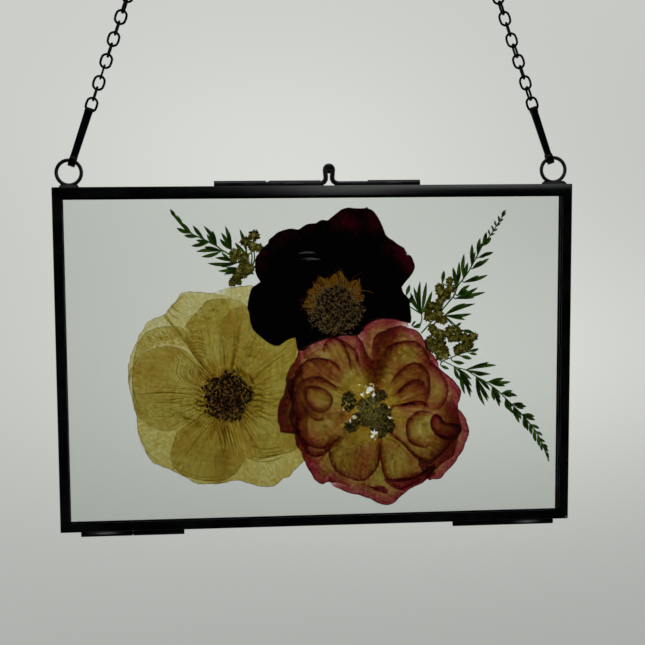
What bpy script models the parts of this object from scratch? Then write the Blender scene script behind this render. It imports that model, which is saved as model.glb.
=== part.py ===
"""Hanging glass frame with three pressed flowers.

Two glass leaves in black metal channel open like a book on two knuckle hinges under the bottom
rails and shut on a sliding bolt above the top rails.  Two soldered rings, two bar links and a
link chain carry the frame.  Sizes are in millimetres and are written out in metres.

Design axes: X to the right, Y from the front to the back, Z up, measured from the middle of the
front leaf's outline and from the plane between the two leaves.  The finished frame hangs from
the middle link of its chain, and the point where a nail bears in that link is the world origin.
"""

import math

import bmesh
import bpy
from mathutils import Matrix, Vector, geometry

MM = 0.001

# Metal rims and panes
RIM_WIDTH = 153.0
RIM_HEIGHT = 101.7
RAIL_FACE = 2.8
RAIL_WALL = 0.5
RAIL_ROUNDING = 0.4
MITRE_GAP = 0.05
GLASS_THICKNESS = 2.0
GLASS_PLAY = 0.1
GLASS_EDGE_GAP = 0.2
GLASS_BEVEL = 0.15
LEAF_THICKNESS = GLASS_THICKNESS + 2 * (GLASS_PLAY + RAIL_WALL)
LEAF_GAP = 0.28
BACK_LEAF_DROP = 0.9  # the back leaf hangs this much lower than the front one

# Rings, bar links and chain
RING_SPACING = 143.7
RING_CENTRE_Z = 55.0
RING_RADIUS = 3.62
RING_WIRE = 0.54
RING_Y = (LEAF_GAP + LEAF_THICKNESS) / 2
FOOT_HALF_WIDTH = {"left": 3.0, "right": 4.0}
FOOT_SHIFT = {"left": 0.1, "right": 0.4}
FOOT_FLARE = [(0.0, 1.0, 1.05), (0.6, 0.99, 0.9), (1.1, 0.94, 0.68), (1.7, 0.76, 0.4)]
BAR_WIDTHS = {"left": (2.0, 2.3), "right": (1.7, 2.1)}  # at the ring and at the chain
BAR_HALF_THICKNESS = 0.55
BAR_RING_EYE = (1.72, 1.29)  # outer and inner radius
BAR_CHAIN_EYE = (1.1, 0.62)
LINK_LENGTH = 4.71
LINK_WIDTH = 3.8
LINK_WIRE = 0.35
LINK_PITCH = LINK_LENGTH - 4 * LINK_WIRE
LINKS_PER_RUN = 59
FIRST_LINK = 20.7  # from the ring's centre to the lowest link's centre, along the pull
CHAIN_ROD = 0.65  # a rod of this radius holds as much metal as the links

# Latch above the top rails
LATCH_Y = 0.75
LATCH_Z = 51.4
LATCH_TUBE = 0.95
LATCH_BORE = 0.76
LATCH_TUBES = {"keeper": (-29.8, -14.6), "left_guide": (-13.7, 1.6), "right_guide": (15.7, 31.2)}
BOLT_WIRE = 0.65
BOLT_LOOP_WIRE = 0.72
BOLT_ENDS = (-22.8, 20.8)
BOLT_LOOP_X = 4.1
BOLT_LOOP_RISE = 4.05
BOLT_LOOP_BEND = 1.13
BOLT_LOOP_FOOT = [(-2.9, 0), (-2.0, 0.12), (-1.35, 0.55), (-1.0, 1.2), (-0.95, 1.9), (-1.05, 2.9)]
BOLT_WEB = (0.75, 0.5, 0.95)
BOLT_TRAVEL = 9.0

# Hinges under the bottom rails
HINGE_Y = -0.95
HINGE_Z = -51.9
HINGE_TUBE = 0.85
HINGE_BORE = 0.55
HINGE_PIN = 0.45
KNUCKLE_GAP = 0.2
HINGES = {"left": (-70.6, -40.1, "front"), "right": (41.3, 72.2, "rear")}

# Pressed flowers, from back to front between the panes
PETAL_THICKNESS = 0.05
LAYER_PITCH = 0.08
FLOWER_SPACE = 1.4
STEM_THICKNESS = 0.12
BUD_THICKNESS = 0.28
HEART_THICKNESS = 0.3
OUTLINE_STEPS = 2

CREAM_CENTRE = (-26.5, -11.6)
CREAM_HEART = (7.0, 6.6)
CREAM_PETALS = {
    "left_back": [(-29.5, 6.5), (-28.5, 12.5), (-26, 17.5), (-21, 24), (-17, 22), (-13, 21),
                  (-8.5, 16), (-5.5, 7.5), (-8.5, 1.5), (-19.5, 1.5), (-27, 3)],
    "upper_left_back": [(-21, 24), (-18, 25), (-16, 28), (-13, 31), (-6, 31.5), (-2.5, 30.5),
                        (-1, 26.5), (-2, 16), (-5.5, 8), (-11, 14), (-16, 20)],
    "top_back": [(-3, 30.5), (0, 32.5), (7, 33), (8.5, 28.5), (9.5, 21.5), (5.5, 13),
                 (1.5, 8), (-2, 18)],
    "lower_left_back": [(-27, -3.5), (-27, -10), (-25, -15.5), (-22.5, -19.5), (-16, -22.5),
                        (-9, -26), (-3.5, -26.5), (2, -25.5), (4.5, -20), (3, -11.5),
                        (-1.5, -3), (-9, -1), (-19.5, -3.5)],
    "lower_right_back": [(2, -25.5), (7.5, -27), (11.5, -27.5), (14, -27), (18, -24.5),
                         (22, -20.5), (19.5, -15.5), (13.5, -11), (6, -3), (2, -8), (0.5, -18)],
    "upper": [(1.5, 2), (-5, 8), (-11, 14), (-12.5, 18.5), (-12, 21.5), (-6.5, 28), (-4, 30),
              (0, 29.5), (4.5, 28), (6.5, 25.5), (7.5, 18), (7, 11.5), (4.5, 5.5)],
    "right": [(3, 1), (4.5, 11.5), (8, 19), (14.5, 16), (18, 17), (21.5, 17.5), (21.5, 14.5),
              (19, 10), (15.5, -1), (16, -7.5), (16.5, -12), (9.5, -6.5)],
    "lower_right": [(3.5, -2), (5, -8), (5.5, -15), (6.5, -19), (10, -20), (18, -17.5),
                    (20, -15.5), (16, -11), (9.5, -5.5)],
    "lower": [(-2, -3), (-9, -6.5), (-14, -9), (-16.5, -12.5), (-16, -19), (-12.5, -22.5),
              (-6.5, -25), (-0.5, -25), (3.5, -22), (5.5, -18), (5.5, -13.5), (3, -8)],
    "left": [(-1, 1.5), (-5, 7), (-10, 12.5), (-14, 15), (-18, 15.5), (-26, 12), (-28, 7.5),
             (-28.5, 2.5), (-27.5, -2.5), (-24, -7), (-18.5, -9.5), (-14.5, -9), (-10.5, -7), (-3, -3)],
}

DARK_CENTRE = (5.7, 15.4)
DARK_HEART = (8.6, 7.8)
DARK_PETALS = {
    "bottom": [(0, 1), (-6, -3.5), (-11, -9.5), (-10, -12.5), (-4.5, -12.5), (2.5, -11.5),
               (7, -8.5), (6.5, -3.5), (3, 0.5)],
    "lower_right": [(2, 2.5), (8.5, 6), (16.5, 6.5), (20, 5), (21.5, 2.5), (23, -4.5),
                    (22, -6), (14.5, -7), (9.5, -9), (5, -6.5), (2, -1.5)],
    "lower_left": [(-1, 2), (-8, 6), (-16.5, 7.5), (-23, 6.5), (-25, 5), (-26, 0.5),
                   (-24.5, -7), (-21.5, -9.5), (-17.5, -12), (-11.5, -9.5), (-3, -3)],
    "right": [(1, 2), (4.5, 9), (10.5, 16.5), (15.5, 20.5), (17.5, 19), (21, 17),
              (23.5, 12.5), (23.5, 10.5), (20, 5), (14.5, 3), (8.5, 2)],
    "upper_left": [(-1, 4.5), (-8, 5.5), (-18, 6), (-22.5, 8), (-23.5, 12.5), (-23, 16),
                   (-20, 19.5), (-14, 23), (-10.5, 22.5), (-7.5, 24.5), (-3.5, 25),
                   (-1, 24.5), (1.5, 19), (1, 11)],
    "top": [(-1, 5.5), (-3.5, 11.5), (-4.5, 18.5), (-3.5, 22.5), (-1, 26.5), (3.5, 29),
            (9.5, 29), (13, 26), (15, 20.5), (13, 15), (7.5, 9.5), (2.5, 5.5)],
}

RUFFLED_CENTRE = (15.5, -16.8)
RUFFLED_HEART = (6.6, 6.2)
RUFFLED_PETALS = {
    "far_left": [(-4, -1.5), (-17, -6.5), (-26.5, -6), (-27.5, -2.5), (-27, 3), (-24.5, 7),
                 (-17, 6.5), (-8.5, 3)],
    "bottom_back": [(2.5, -2.5), (-6, -13), (-12.5, -21), (-10, -23.5), (-4.5, -25.5),
                    (4.5, -28.5), (9, -26.5), (16.5, -19.5), (13, -12.5), (6.5, -4)],
    "right_back": [(2.5, -1.5), (13, 0), (27, 0.5), (29.5, -1.5), (31, -6), (29.5, -11.5),
                   (24, -20), (21.5, -21.5), (18, -20.5), (13, -15.5), (6.5, -8)],
    "top_back": [(2, 1), (-1, 12.5), (-3.5, 22.5), (1, 27), (8.5, 28.5), (12, 27),
                 (15.5, 22.5), (13, 14.5), (7.5, 6)],
    "lower_left_back": [(-2, -1.5), (-12.5, -4.5), (-20, -10.5), (-18.5, -17.5), (-14, -22),
                        (-11.5, -21), (-6, -17.5), (0, -8)],
    "left": [(0, -0.5), (-10.5, -4.5), (-21, -8.5), (-23.5, -4), (-25, 8), (-21.5, 16),
             (-17, 17), (-8.5, 11.5), (-2, 5)],
    "top_left": [(1, 0.5), (-9, 7.5), (-17, 13.5), (-19, 18), (-14.5, 22), (-9, 23.5),
                 (-2.5, 23), (-0.5, 19.5), (2.5, 6.5)],
    "right": [(2, 0), (7.5, 8), (16, 13), (22, 13), (28, 6), (27.5, -1), (29, -5.5),
              (26, -7.5), (17, -5), (8.5, -2.5)],
    "top_right": [(2.5, 1.5), (1, 10), (0.5, 17.5), (2, 23), (8.5, 26), (16.5, 22),
                  (21.5, 13), (15, 8), (7.5, 3.5)],
}

# Each sprig's midrib from the tip to the end tucked under the flowers
SPRIGS = {
    "left": [(-42.1, 43.7), (-37, 38.7), (-29.7, 33.3), (-22.4, 27.6), (-14.1, 21.2)],
    "right_upper": [(56.4, 42.9), (49.5, 34.3), (42, 20.8), (34.4, 8.9), (26.8, 2.9)],
    "right_lower": [(71.1, -33.3), (60.6, -16), (49.8, -6.6), (40.5, -2.5), (29.9, 0.2)],
}
SPRIG_HALF_WIDTHS = (0.12, 0.4)
BUD_CLUSTERS = {"left": ((-21.2, 29.7), (4.6, 5.6)), "right": ((40.5, 10.4), (6.4, 9.6))}

# Facets
RING_SIDES = 32
WIRE_SIDES = 10
TUBE_SIDES = 16
CORNER_STEPS = 3
BEND_STEPS = 8
HEART_SIDES = 20
PIECE_GAP = 0.05

# Where the design axes and the four moving groups stand in the world, in millimetres
PULL_RUN = FIRST_LINK + (LINKS_PER_RUN - 1) * LINK_PITCH + LINK_LENGTH / 2 - LINK_WIRE
MIDDLE_LINK_GRIP = LINK_LENGTH / 2 - 3 * LINK_WIRE
PULL_SIDE = RING_SPACING / 2 - MIDDLE_LINK_GRIP
PULL_ANGLE = math.asin(PULL_SIDE / PULL_RUN)
MIDDLE_LINK_Z = RING_CENTRE_Z + PULL_RUN * math.cos(PULL_ANGLE)
HANG_Z = MIDDLE_LINK_Z + LINK_WIDTH / 2 - 2 * LINK_WIRE
DESIGN_ORIGIN = Vector((0, -RING_Y, -HANG_Z))
SWING_Z = RING_CENTRE_Z + RING_RADIUS * math.cos(PULL_ANGLE)
PIVOTS = {
    "hanger": Vector((0, RING_Y, HANG_Z)),
    "back_leaf": Vector((0, RING_Y, SWING_Z)),
    "front_leaf": Vector((0, HINGE_Y, HINGE_Z)),
    "latch_bolt": Vector((0, LATCH_Y, LATCH_Z)),
}

# Colour, roughness and metallic value of each finish
FINISHES = {
    "black_metal": ((0.012, 0.013, 0.013), 0.42, 0.6),
    "glass": ((0.78, 0.86, 0.82), 0.02, 0.0),
    "cream_petal": ((0.42, 0.38, 0.15), 0.6, 0.0),
    "dark_petal": ((0.03, 0.004, 0.008), 0.6, 0.0),
    "rose_petal": ((0.35, 0.15, 0.08), 0.6, 0.0),
    "purple_heart": ((0.07, 0.03, 0.04), 0.8, 0.0),
    "golden_heart": ((0.2, 0.13, 0.04), 0.8, 0.0),
    "olive_heart": ((0.09, 0.1, 0.03), 0.8, 0.0),
    "sprig_green": ((0.02, 0.07, 0.02), 0.6, 0.0),
    "dry_bud": ((0.16, 0.12, 0.03), 0.8, 0.0),
}


def clear_scene():
    for thing in list(bpy.data.objects):
        bpy.data.objects.remove(thing)


def make_finishes():
    made = {}
    for name, (colour, roughness, metallic) in FINISHES.items():
        material = bpy.data.materials.new(name)
        material.use_nodes = True
        shader = material.node_tree.nodes["Principled BSDF"]
        shader.inputs["Base Color"].default_value = (*colour, 1.0)
        shader.inputs["Roughness"].default_value = roughness
        shader.inputs["Metallic"].default_value = metallic
        material.diffuse_color = (*colour, 1.0)
        made[name] = material
    return made


def make_pivots():
    made = {}
    for name, place in PIVOTS.items():
        pivot = bpy.data.objects.new(name + "_pivot", None)
        pivot.location = (place + DESIGN_ORIGIN) * MM
        bpy.context.scene.collection.objects.link(pivot)
        made[name] = pivot
    return made


def add_piece(name, shape, pivot, group, material, smooth=False):
    """Makes a named object of a bmesh drawn in design millimetres, parented to its group's pivot."""
    bmesh.ops.recalc_face_normals(shape, faces=shape.faces)
    shape.transform(Matrix.Scale(MM, 4) @ Matrix.Translation(-PIVOTS[group]))
    mesh = bpy.data.meshes.new(name)
    shape.to_mesh(mesh)
    shape.free()
    if smooth:
        mesh.shade_smooth()
        mesh.set_sharp_from_angle(angle=math.radians(40))
    piece = bpy.data.objects.new(name, mesh)
    piece.parent = pivot
    piece.data.materials.append(material)
    bpy.context.scene.collection.objects.link(piece)
    return piece


def combine(piece, tool, operation):
    """Joins a tool to a piece, or cuts the piece with it, and hides the tool."""
    modifier = piece.modifiers.new(tool.name, "BOOLEAN")
    modifier.operation = operation
    modifier.solver = "EXACT"
    modifier.object = tool
    tool.hide_render = True
    tool.display_type = "WIRE"


def bridge_rings(shape, rings, closed):
    """Skins rows of vertices into a tube. A closed one runs round, an open one gets end caps."""
    count = len(rings[0])
    pairs = zip(rings, rings[1:] + rings[:1]) if closed else zip(rings, rings[1:])
    for near, far in pairs:
        for i in range(count):
            j = (i + 1) % count
            shape.faces.new((near[i], near[j], far[j], far[i]))
    if not closed:
        shape.faces.new(rings[0])
        shape.faces.new(rings[-1])


def wire(path, radii, sides, closed=False):
    """A round wire along a path that lies in a plane Y = constant, with its radius at each point."""
    shape = bmesh.new()
    rings = []
    last = len(path) - 1
    for i, point in enumerate(path):
        before = path[i - 1] if closed or i else point
        after = path[(i + 1) % len(path)] if closed or i < last else point
        along = (after - before).normalized()
        across = along.cross(Vector((0, 1, 0)))
        ring = []
        for k in range(sides):
            turn = 2 * math.pi * k / sides
            offset = across * math.cos(turn) + Vector((0, 1, 0)) * math.sin(turn)
            ring.append(shape.verts.new(point + offset * radii[i]))
        rings.append(ring)
    bridge_rings(shape, rings, closed)
    return shape


def rod(start, end, radius, sides):
    """A solid round rod between two points."""
    shape = bmesh.new()
    along = end - start
    turn = along.to_track_quat("Z", "Y").to_matrix().to_4x4()
    place = Matrix.Translation((start + end) / 2) @ turn
    bmesh.ops.create_cone(
        shape, cap_ends=True, segments=sides, radius1=radius, radius2=radius,
        depth=along.length, matrix=place,
    )
    return shape


def lump(centre, radii):
    """A rounded blob of solder."""
    shape = bmesh.new()
    stretch = Matrix.Diagonal((*radii, 1.0))
    bmesh.ops.create_uvsphere(
        shape, u_segments=12, v_segments=8, radius=1.0, matrix=Matrix.Translation(centre) @ stretch,
    )
    return shape


def oval_path(centre, long_half, short_half, steps):
    """A link's middle line: two half circles joined by straight sides, long along X."""
    straight = long_half - short_half
    path = []
    for k in range(steps):
        turn = 2 * math.pi * (k + 0.5) / steps
        side = math.copysign(straight, math.cos(turn))
        x = short_half * math.cos(turn) + side
        path.append(centre + Vector((x, 0, short_half * math.sin(turn))))
    return path


def level_oval(centre, half_width, half_depth):
    """Points round a level ellipse, for lofted solder."""
    points = []
    for k in range(TUBE_SIDES):
        turn = 2 * math.pi * k / TUBE_SIDES
        points.append(centre + Vector((half_width * math.cos(turn), half_depth * math.sin(turn), 0)))
    return points


def channel_profile():
    """Outline of the rail's channel, as (distance from the outer edge, distance from the front)."""
    width, depth, wall, r = RAIL_FACE, LEAF_THICKNESS, RAIL_WALL, RAIL_ROUNDING
    outline = [(width, 0)]
    for centre, start in (((r, r), 1.5), ((r, depth - r), 1.0)):
        for step in range(CORNER_STEPS + 1):
            turn = math.pi * (start - 0.5 * step / CORNER_STEPS)
            outline.append((centre[0] + r * math.cos(turn), centre[1] + r * math.sin(turn)))
    outline += [(width, depth), (width, depth - wall), (wall, depth - wall), (wall, wall)]
    outline.append((width, wall))
    return outline


def rail(side, front_y, middle_z):
    """One mitred length of channel: side is top, bottom, left or right."""
    half_w, half_h = RIM_WIDTH / 2, RIM_HEIGHT / 2
    upright = side in ("left", "right")
    half_length, reach = (half_h, half_w) if upright else (half_w, half_h)
    sign = -1 if side in ("left", "bottom") else 1
    shape = bmesh.new()
    ends = []
    for end in (-1, 1):
        ring = []
        for inward, depth in channel_profile():
            along = end * (half_length - inward - MITRE_GAP)
            out = sign * (reach - inward)
            x, z = (out, along) if upright else (along, out)
            ring.append(shape.verts.new((x, front_y + depth, middle_z + z)))
        ends.append(ring)
    bridge_rings(shape, ends, closed=False)
    return shape


def pane(front_y, middle_z):
    """A glass pane with ground edges."""
    inset = RAIL_WALL + GLASS_EDGE_GAP
    size = (RIM_WIDTH - 2 * inset, GLASS_THICKNESS, RIM_HEIGHT - 2 * inset)
    middle = Vector((0, front_y + GLASS_THICKNESS / 2, middle_z))
    shape = bmesh.new()
    bmesh.ops.create_cube(shape, size=1, matrix=Matrix.Translation(middle) @ Matrix.Diagonal((*size, 1)))
    bmesh.ops.bevel(
        shape, geom=shape.edges[:], offset=GLASS_BEVEL, segments=1, profile=0.5, affect="EDGES",
    )
    return shape


def make_leaf(name, group, front_y, middle_z, pivots, finishes):
    for side in ("top", "bottom", "left", "right"):
        piece = f"{name}_{side}_rail"
        shape = rail(side, front_y, middle_z)
        add_piece(piece, shape, pivots[group], group, finishes["black_metal"], smooth=True)
    glass = pane(front_y + RAIL_WALL + GLASS_PLAY, middle_z)
    add_piece(f"{name}_glass", glass, pivots[group], group, finishes["glass"])


def make_rings(pivots, finishes):
    """The two hanging rings, each with the flared foot of solder that holds it on the back leaf."""
    rail_top = RIM_HEIGHT / 2 - BACK_LEAF_DROP
    for side, sign in (("left", -1), ("right", 1)):
        centre = Vector((sign * RING_SPACING / 2, RING_Y, RING_CENTRE_Z))
        path = oval_path(centre, RING_RADIUS, RING_RADIUS, RING_SIDES)
        metal = finishes["black_metal"]
        shape = wire(path, [RING_WIRE] * RING_SIDES, WIRE_SIDES, closed=True)
        ring = add_piece(f"{side}_ring", shape, pivots["back_leaf"], "back_leaf", metal, smooth=True)
        foot = bmesh.new()
        levels = []
        for rise, spread, half_depth in FOOT_FLARE:
            shift = sign * FOOT_SHIFT[side] * spread
            middle = Vector((centre.x + shift, RING_Y, rail_top + PIECE_GAP + rise))
            half_width = FOOT_HALF_WIDTH[side] * spread
            levels.append([foot.verts.new(v) for v in level_oval(middle, half_width, half_depth)])
        bridge_rings(foot, levels, closed=False)
        tool = add_piece(f"{side}_foot", foot, pivots["back_leaf"], "back_leaf", metal)
        combine(ring, tool, "UNION")


def eye_outline(z, radius, start, end, steps):
    """An arc of a bar link's side outline, as (thickness, height)."""
    points = []
    for k in range(steps + 1):
        turn = start + (end - start) * k / steps
        points.append((radius * math.cos(turn), z + radius * math.sin(turn)))
    return points


def make_bars(pivots, finishes):
    """The two flat bar links, each a folded strip with an eye round the ring and one at the chain."""
    low, high = RING_RADIUS, FIRST_LINK - LINK_LENGTH / 2 + LINK_WIRE
    low_edge = math.asin(BAR_HALF_THICKNESS / BAR_RING_EYE[0])
    high_edge = math.asin(BAR_HALF_THICKNESS / BAR_CHAIN_EYE[0])
    outline = eye_outline(low, BAR_RING_EYE[0], math.pi / 2 + low_edge, 2.5 * math.pi - low_edge, 14)
    outline += eye_outline(high, BAR_CHAIN_EYE[0], high_edge - math.pi / 2, 1.5 * math.pi - high_edge, 12)
    for side, sign in (("left", -1), ("right", 1)):
        centre = Vector((sign * RING_SPACING / 2, RING_Y, RING_CENTRE_Z))
        place = Matrix.Translation(centre) @ Matrix.Rotation(-sign * PULL_ANGLE, 4, "Y")
        shape = bmesh.new()
        narrow, wide = BAR_WIDTHS[side]
        faces = []
        for edge in (-0.5, 0.5):
            points = [(edge * (narrow + (wide - narrow) * z / high), y, z) for y, z in outline]
            faces.append([shape.verts.new(point) for point in points])
        bridge_rings(shape, faces, closed=False)
        shape.transform(place)
        metal = finishes["black_metal"]
        bar = add_piece(f"{side}_bar_link", shape, pivots["hanger"], "hanger", metal)
        for eye, z, radius in (("ring", low, BAR_RING_EYE[1]), ("chain", high, BAR_CHAIN_EYE[1])):
            ends = [place @ Vector((edge * wide, 0, z)) for edge in (-1, 1)]
            hole = rod(*ends, radius, TUBE_SIDES)
            tool = add_piece(f"{side}_{eye}_eye", hole, pivots["hanger"], "hanger", metal)
            combine(bar, tool, "DIFFERENCE")


def make_chain(pivots, finishes):
    """The two taut chain runs as plain rods, and the middle link that hangs on the nail."""
    metal = finishes["black_metal"]
    start = FIRST_LINK - LINK_LENGTH / 2 + LINK_WIRE + BAR_CHAIN_EYE[0] + 0.3
    end = PULL_RUN - 2.9
    for side, sign in (("left", -1), ("right", 1)):
        centre = Vector((sign * RING_SPACING / 2, RING_Y, RING_CENTRE_Z))
        pull = Vector((-sign * math.sin(PULL_ANGLE), 0, math.cos(PULL_ANGLE)))
        shape = rod(centre + pull * start, centre + pull * end, CHAIN_ROD, WIRE_SIDES)
        add_piece(f"{side}_chain_run", shape, pivots["hanger"], "hanger", metal, smooth=True)
    middle = Vector((0, RING_Y, MIDDLE_LINK_Z))
    path = oval_path(middle, LINK_LENGTH / 2 - LINK_WIRE, LINK_WIDTH / 2 - LINK_WIRE, RING_SIDES)
    shape = wire(path, [LINK_WIRE] * RING_SIDES, WIRE_SIDES, closed=True)
    add_piece("middle_chain_link", shape, pivots["hanger"], "hanger", metal, smooth=True)


def make_latch(pivots, finishes):
    """The keeper on the back leaf, the two guides on the front leaf, and the bolt with its loop."""
    metal = finishes["black_metal"]
    solder = {
        "keeper": ("back_leaf", Vector((-22.0, 2.0, 50.65)), (4.0, 1.3, 0.6)),
        "left_guide": ("front_leaf", Vector((-6.3, -0.5, 51.35)), (3.1, 0.9, 0.42)),
        "right_guide": ("front_leaf", Vector((23.3, -0.5, 51.35)), (2.6, 0.9, 0.42)),
    }
    for part, (left, right) in LATCH_TUBES.items():
        group, centre, radii = solder[part]
        ends = [Vector((x, LATCH_Y, LATCH_Z)) for x in (left, right)]
        over = [Vector((x, LATCH_Y, LATCH_Z)) for x in (left - 1, right + 1)]
        tube = add_piece(
            f"latch_{part}", rod(*ends, LATCH_TUBE, TUBE_SIDES), pivots[group], group, metal, smooth=True,
        )
        blob = add_piece(f"{part}_solder", lump(centre, radii), pivots[group], group, metal)
        combine(tube, blob, "UNION")
        bore = add_piece(f"{part}_bore", rod(*over, LATCH_BORE, TUBE_SIDES), pivots[group], group, metal)
        combine(tube, bore, "DIFFERENCE")
    add_bolt(pivots["latch_bolt"], metal)


def add_bolt(pivot, metal):
    """The bolt: one wire bent up in the middle into a narrow loop, its bend filled with solder."""
    half = [(BOLT_LOOP_X + x, LATCH_Z + z) for x, z in BOLT_LOOP_FOOT]
    bend = []
    for step in range(BEND_STEPS + 1):
        turn = math.pi * (1 - step / BEND_STEPS)
        x, z = BOLT_LOOP_BEND * math.cos(turn), BOLT_LOOP_BEND * math.sin(turn)
        bend.append((BOLT_LOOP_X + x, LATCH_Z + BOLT_LOOP_RISE + z))
    mirrored = [(2 * BOLT_LOOP_X - x, z) for x, z in reversed(half)]
    loop = half[1:] + bend + mirrored[:-1]
    route = [(BOLT_ENDS[0], LATCH_Z), half[0], *loop, mirrored[-1], (BOLT_ENDS[1], LATCH_Z)]
    path = [Vector((x, LATCH_Y, z)) for x, z in route]
    radii = [BOLT_WIRE] * 2 + [BOLT_LOOP_WIRE] * len(loop) + [BOLT_WIRE] * 2
    shape = wire(path, radii, WIRE_SIDES)
    bolt = add_piece("latch_bolt_wire", shape, pivot, "latch_bolt", metal, smooth=True)
    web = lump(Vector((BOLT_LOOP_X, LATCH_Y, LATCH_Z + BOLT_LOOP_RISE - BOLT_WEB[2] / 4)), BOLT_WEB)
    combine(bolt, add_piece("bolt_web", web, pivot, "latch_bolt", metal), "UNION")


def make_hinges(pivots, finishes):
    """Two knuckle hinges. In each, one knuckle is on the front leaf, one on the back, on one pin."""
    metal = finishes["black_metal"]
    group_of = {"front": "front_leaf", "rear": "back_leaf"}
    solder_y = {"front": HINGE_Y - 0.95, "rear": HINGE_Y + 1.25}
    solder_z = {"front": HINGE_Z + 0.42, "rear": HINGE_Z - 0.42}
    for side, (left, right, first) in HINGES.items():
        middle = (left + right) / 2
        second = "rear" if first == "front" else "front"
        spans = {
            first: (left, middle - KNUCKLE_GAP / 2),
            second: (middle + KNUCKLE_GAP / 2, right),
        }
        for leaf, span in spans.items():
            group = group_of[leaf]
            name = f"{side}_hinge_{leaf}_knuckle"
            ends = [Vector((x, HINGE_Y, HINGE_Z)) for x in span]
            over = [Vector((x, HINGE_Y, HINGE_Z)) for x in (span[0] - 1, span[1] + 1)]
            tube = add_piece(
                name, rod(*ends, HINGE_TUBE, TUBE_SIDES), pivots[group], group, metal, smooth=True,
            )
            centre = Vector((sum(span) / 2, solder_y[leaf], solder_z[leaf]))
            blob = lump(centre, (4.0, 0.7, 0.36))
            combine(tube, add_piece(f"{name}_solder", blob, pivots[group], group, metal), "UNION")
            bore = rod(*over, HINGE_BORE, TUBE_SIDES)
            combine(tube, add_piece(f"{name}_bore", bore, pivots[group], group, metal), "DIFFERENCE")
        ends = [Vector((x, HINGE_Y, HINGE_Z)) for x in (left + 0.2, right - 0.2)]
        pin = rod(*ends, HINGE_PIN, WIRE_SIDES)
        add_piece(f"{side}_hinge_pin", pin, pivots["back_leaf"], "back_leaf", metal, smooth=True)


def smooth_outline(points, centre):
    """A closed curve through hand-drawn points about a flower's centre."""
    count = len(points)
    outline = []
    for i in range(count):
        a, b, c, d = (Vector(points[(i + k) % count]) for k in (-1, 0, 1, 2))
        for step in range(OUTLINE_STEPS):
            t = step / OUTLINE_STEPS
            curve = 2 * b + (c - a) * t + (2 * a - 5 * b + 4 * c - d) * t**2
            curve += (3 * b - a - 3 * c + d) * t**3
            outline.append(curve / 2 + Vector(centre))
    return outline


def oval_outline(centre, radii):
    outline = []
    for k in range(HEART_SIDES):
        turn = 2 * math.pi * k / HEART_SIDES
        outline.append(Vector(centre) + Vector((radii[0] * math.cos(turn), radii[1] * math.sin(turn))))
    return outline


def midrib_outline(path):
    """A tapered strip along a sprig's midrib, narrow at the tip."""
    points = [Vector(p) for p in path]
    left, right = [], []
    for i, point in enumerate(points):
        along = (points[min(i + 1, len(points) - 1)] - points[max(i - 1, 0)]).normalized()
        thin, thick = SPRIG_HALF_WIDTHS
        half = thin + (thick - thin) * i / (len(points) - 1)
        across = Vector((-along.y, along.x)) * half
        left.append(point + across)
        right.append(point - across)
    return left + right[::-1]


def inside(point, outline):
    """True where a point lies within a closed outline."""
    crossings = 0
    for a, b in zip(outline, outline[1:] + outline[:1]):
        if (a.y > point.y) != (b.y > point.y):
            x = a.x + (point.y - a.y) / (b.y - a.y) * (b.x - a.x)
            crossings += x > point.x
    return crossings % 2 == 1


def outlines_meet(one, other):
    for a, b in zip(one, one[1:] + one[:1]):
        for c, d in zip(other, other[1:] + other[:1]):
            if geometry.intersect_line_line_2d(a, b, c, d):
                return True
    return inside(one[0], other) or inside(other[0], one)


def flat_pieces():
    """Every pressed piece from back to front: (name, outline, thickness, finish)."""
    pieces = []
    for side, path in SPRIGS.items():
        pieces.append((f"{side}_fern_sprig", midrib_outline(path), STEM_THICKNESS, "sprig_green"))
    for side, (centre, radii) in BUD_CLUSTERS.items():
        pieces.append((f"{side}_bud_cluster", oval_outline(centre, radii), BUD_THICKNESS, "dry_bud"))
    flowers = (
        ("cream", CREAM_CENTRE, CREAM_PETALS, "cream_petal", CREAM_HEART, "purple_heart"),
        ("dark", DARK_CENTRE, DARK_PETALS, "dark_petal", DARK_HEART, "golden_heart"),
        ("ruffled", RUFFLED_CENTRE, RUFFLED_PETALS, "rose_petal", RUFFLED_HEART, "olive_heart"),
    )
    for flower, centre, petals, finish, heart, heart_finish in flowers:
        for petal, points in petals.items():
            outline = smooth_outline(points, centre)
            pieces.append((f"{flower}_{petal}_petal", outline, PETAL_THICKNESS, finish))
        outline = oval_outline(centre, heart)
        pieces.append((f"{flower}_flower_heart", outline, HEART_THICKNESS, heart_finish))
    return pieces


def press_flowers(pivots, finishes):
    """Lays each flat piece on the lowest layer that clears everything already under it."""
    laid = []
    for name, outline, thickness, finish in flat_pieces():
        layer = 0
        for under, top in laid:
            if top > layer and outlines_meet(outline, under):
                layer = top
        back_y = FLOWER_SPACE / 2 - layer * LAYER_PITCH
        laid.append((outline, layer + math.ceil((thickness + PIECE_GAP / 2) / LAYER_PITCH)))
        shape = bmesh.new()
        sheets = []
        for y in (back_y - thickness, back_y):
            sheets.append([shape.verts.new((p.x, y, p.y)) for p in outline])
        bridge_rings(shape, sheets, closed=False)
        add_piece(name, shape, pivots["back_leaf"], "back_leaf", finishes[finish])


def main():
    clear_scene()
    finishes = make_finishes()
    pivots = make_pivots()
    make_leaf("front", "front_leaf", -LEAF_GAP / 2 - LEAF_THICKNESS, 0, pivots, finishes)
    make_leaf("back", "back_leaf", LEAF_GAP / 2, -BACK_LEAF_DROP, pivots, finishes)
    make_rings(pivots, finishes)
    make_bars(pivots, finishes)
    make_chain(pivots, finishes)
    make_latch(pivots, finishes)
    make_hinges(pivots, finishes)
    press_flowers(pivots, finishes)


main()
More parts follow.
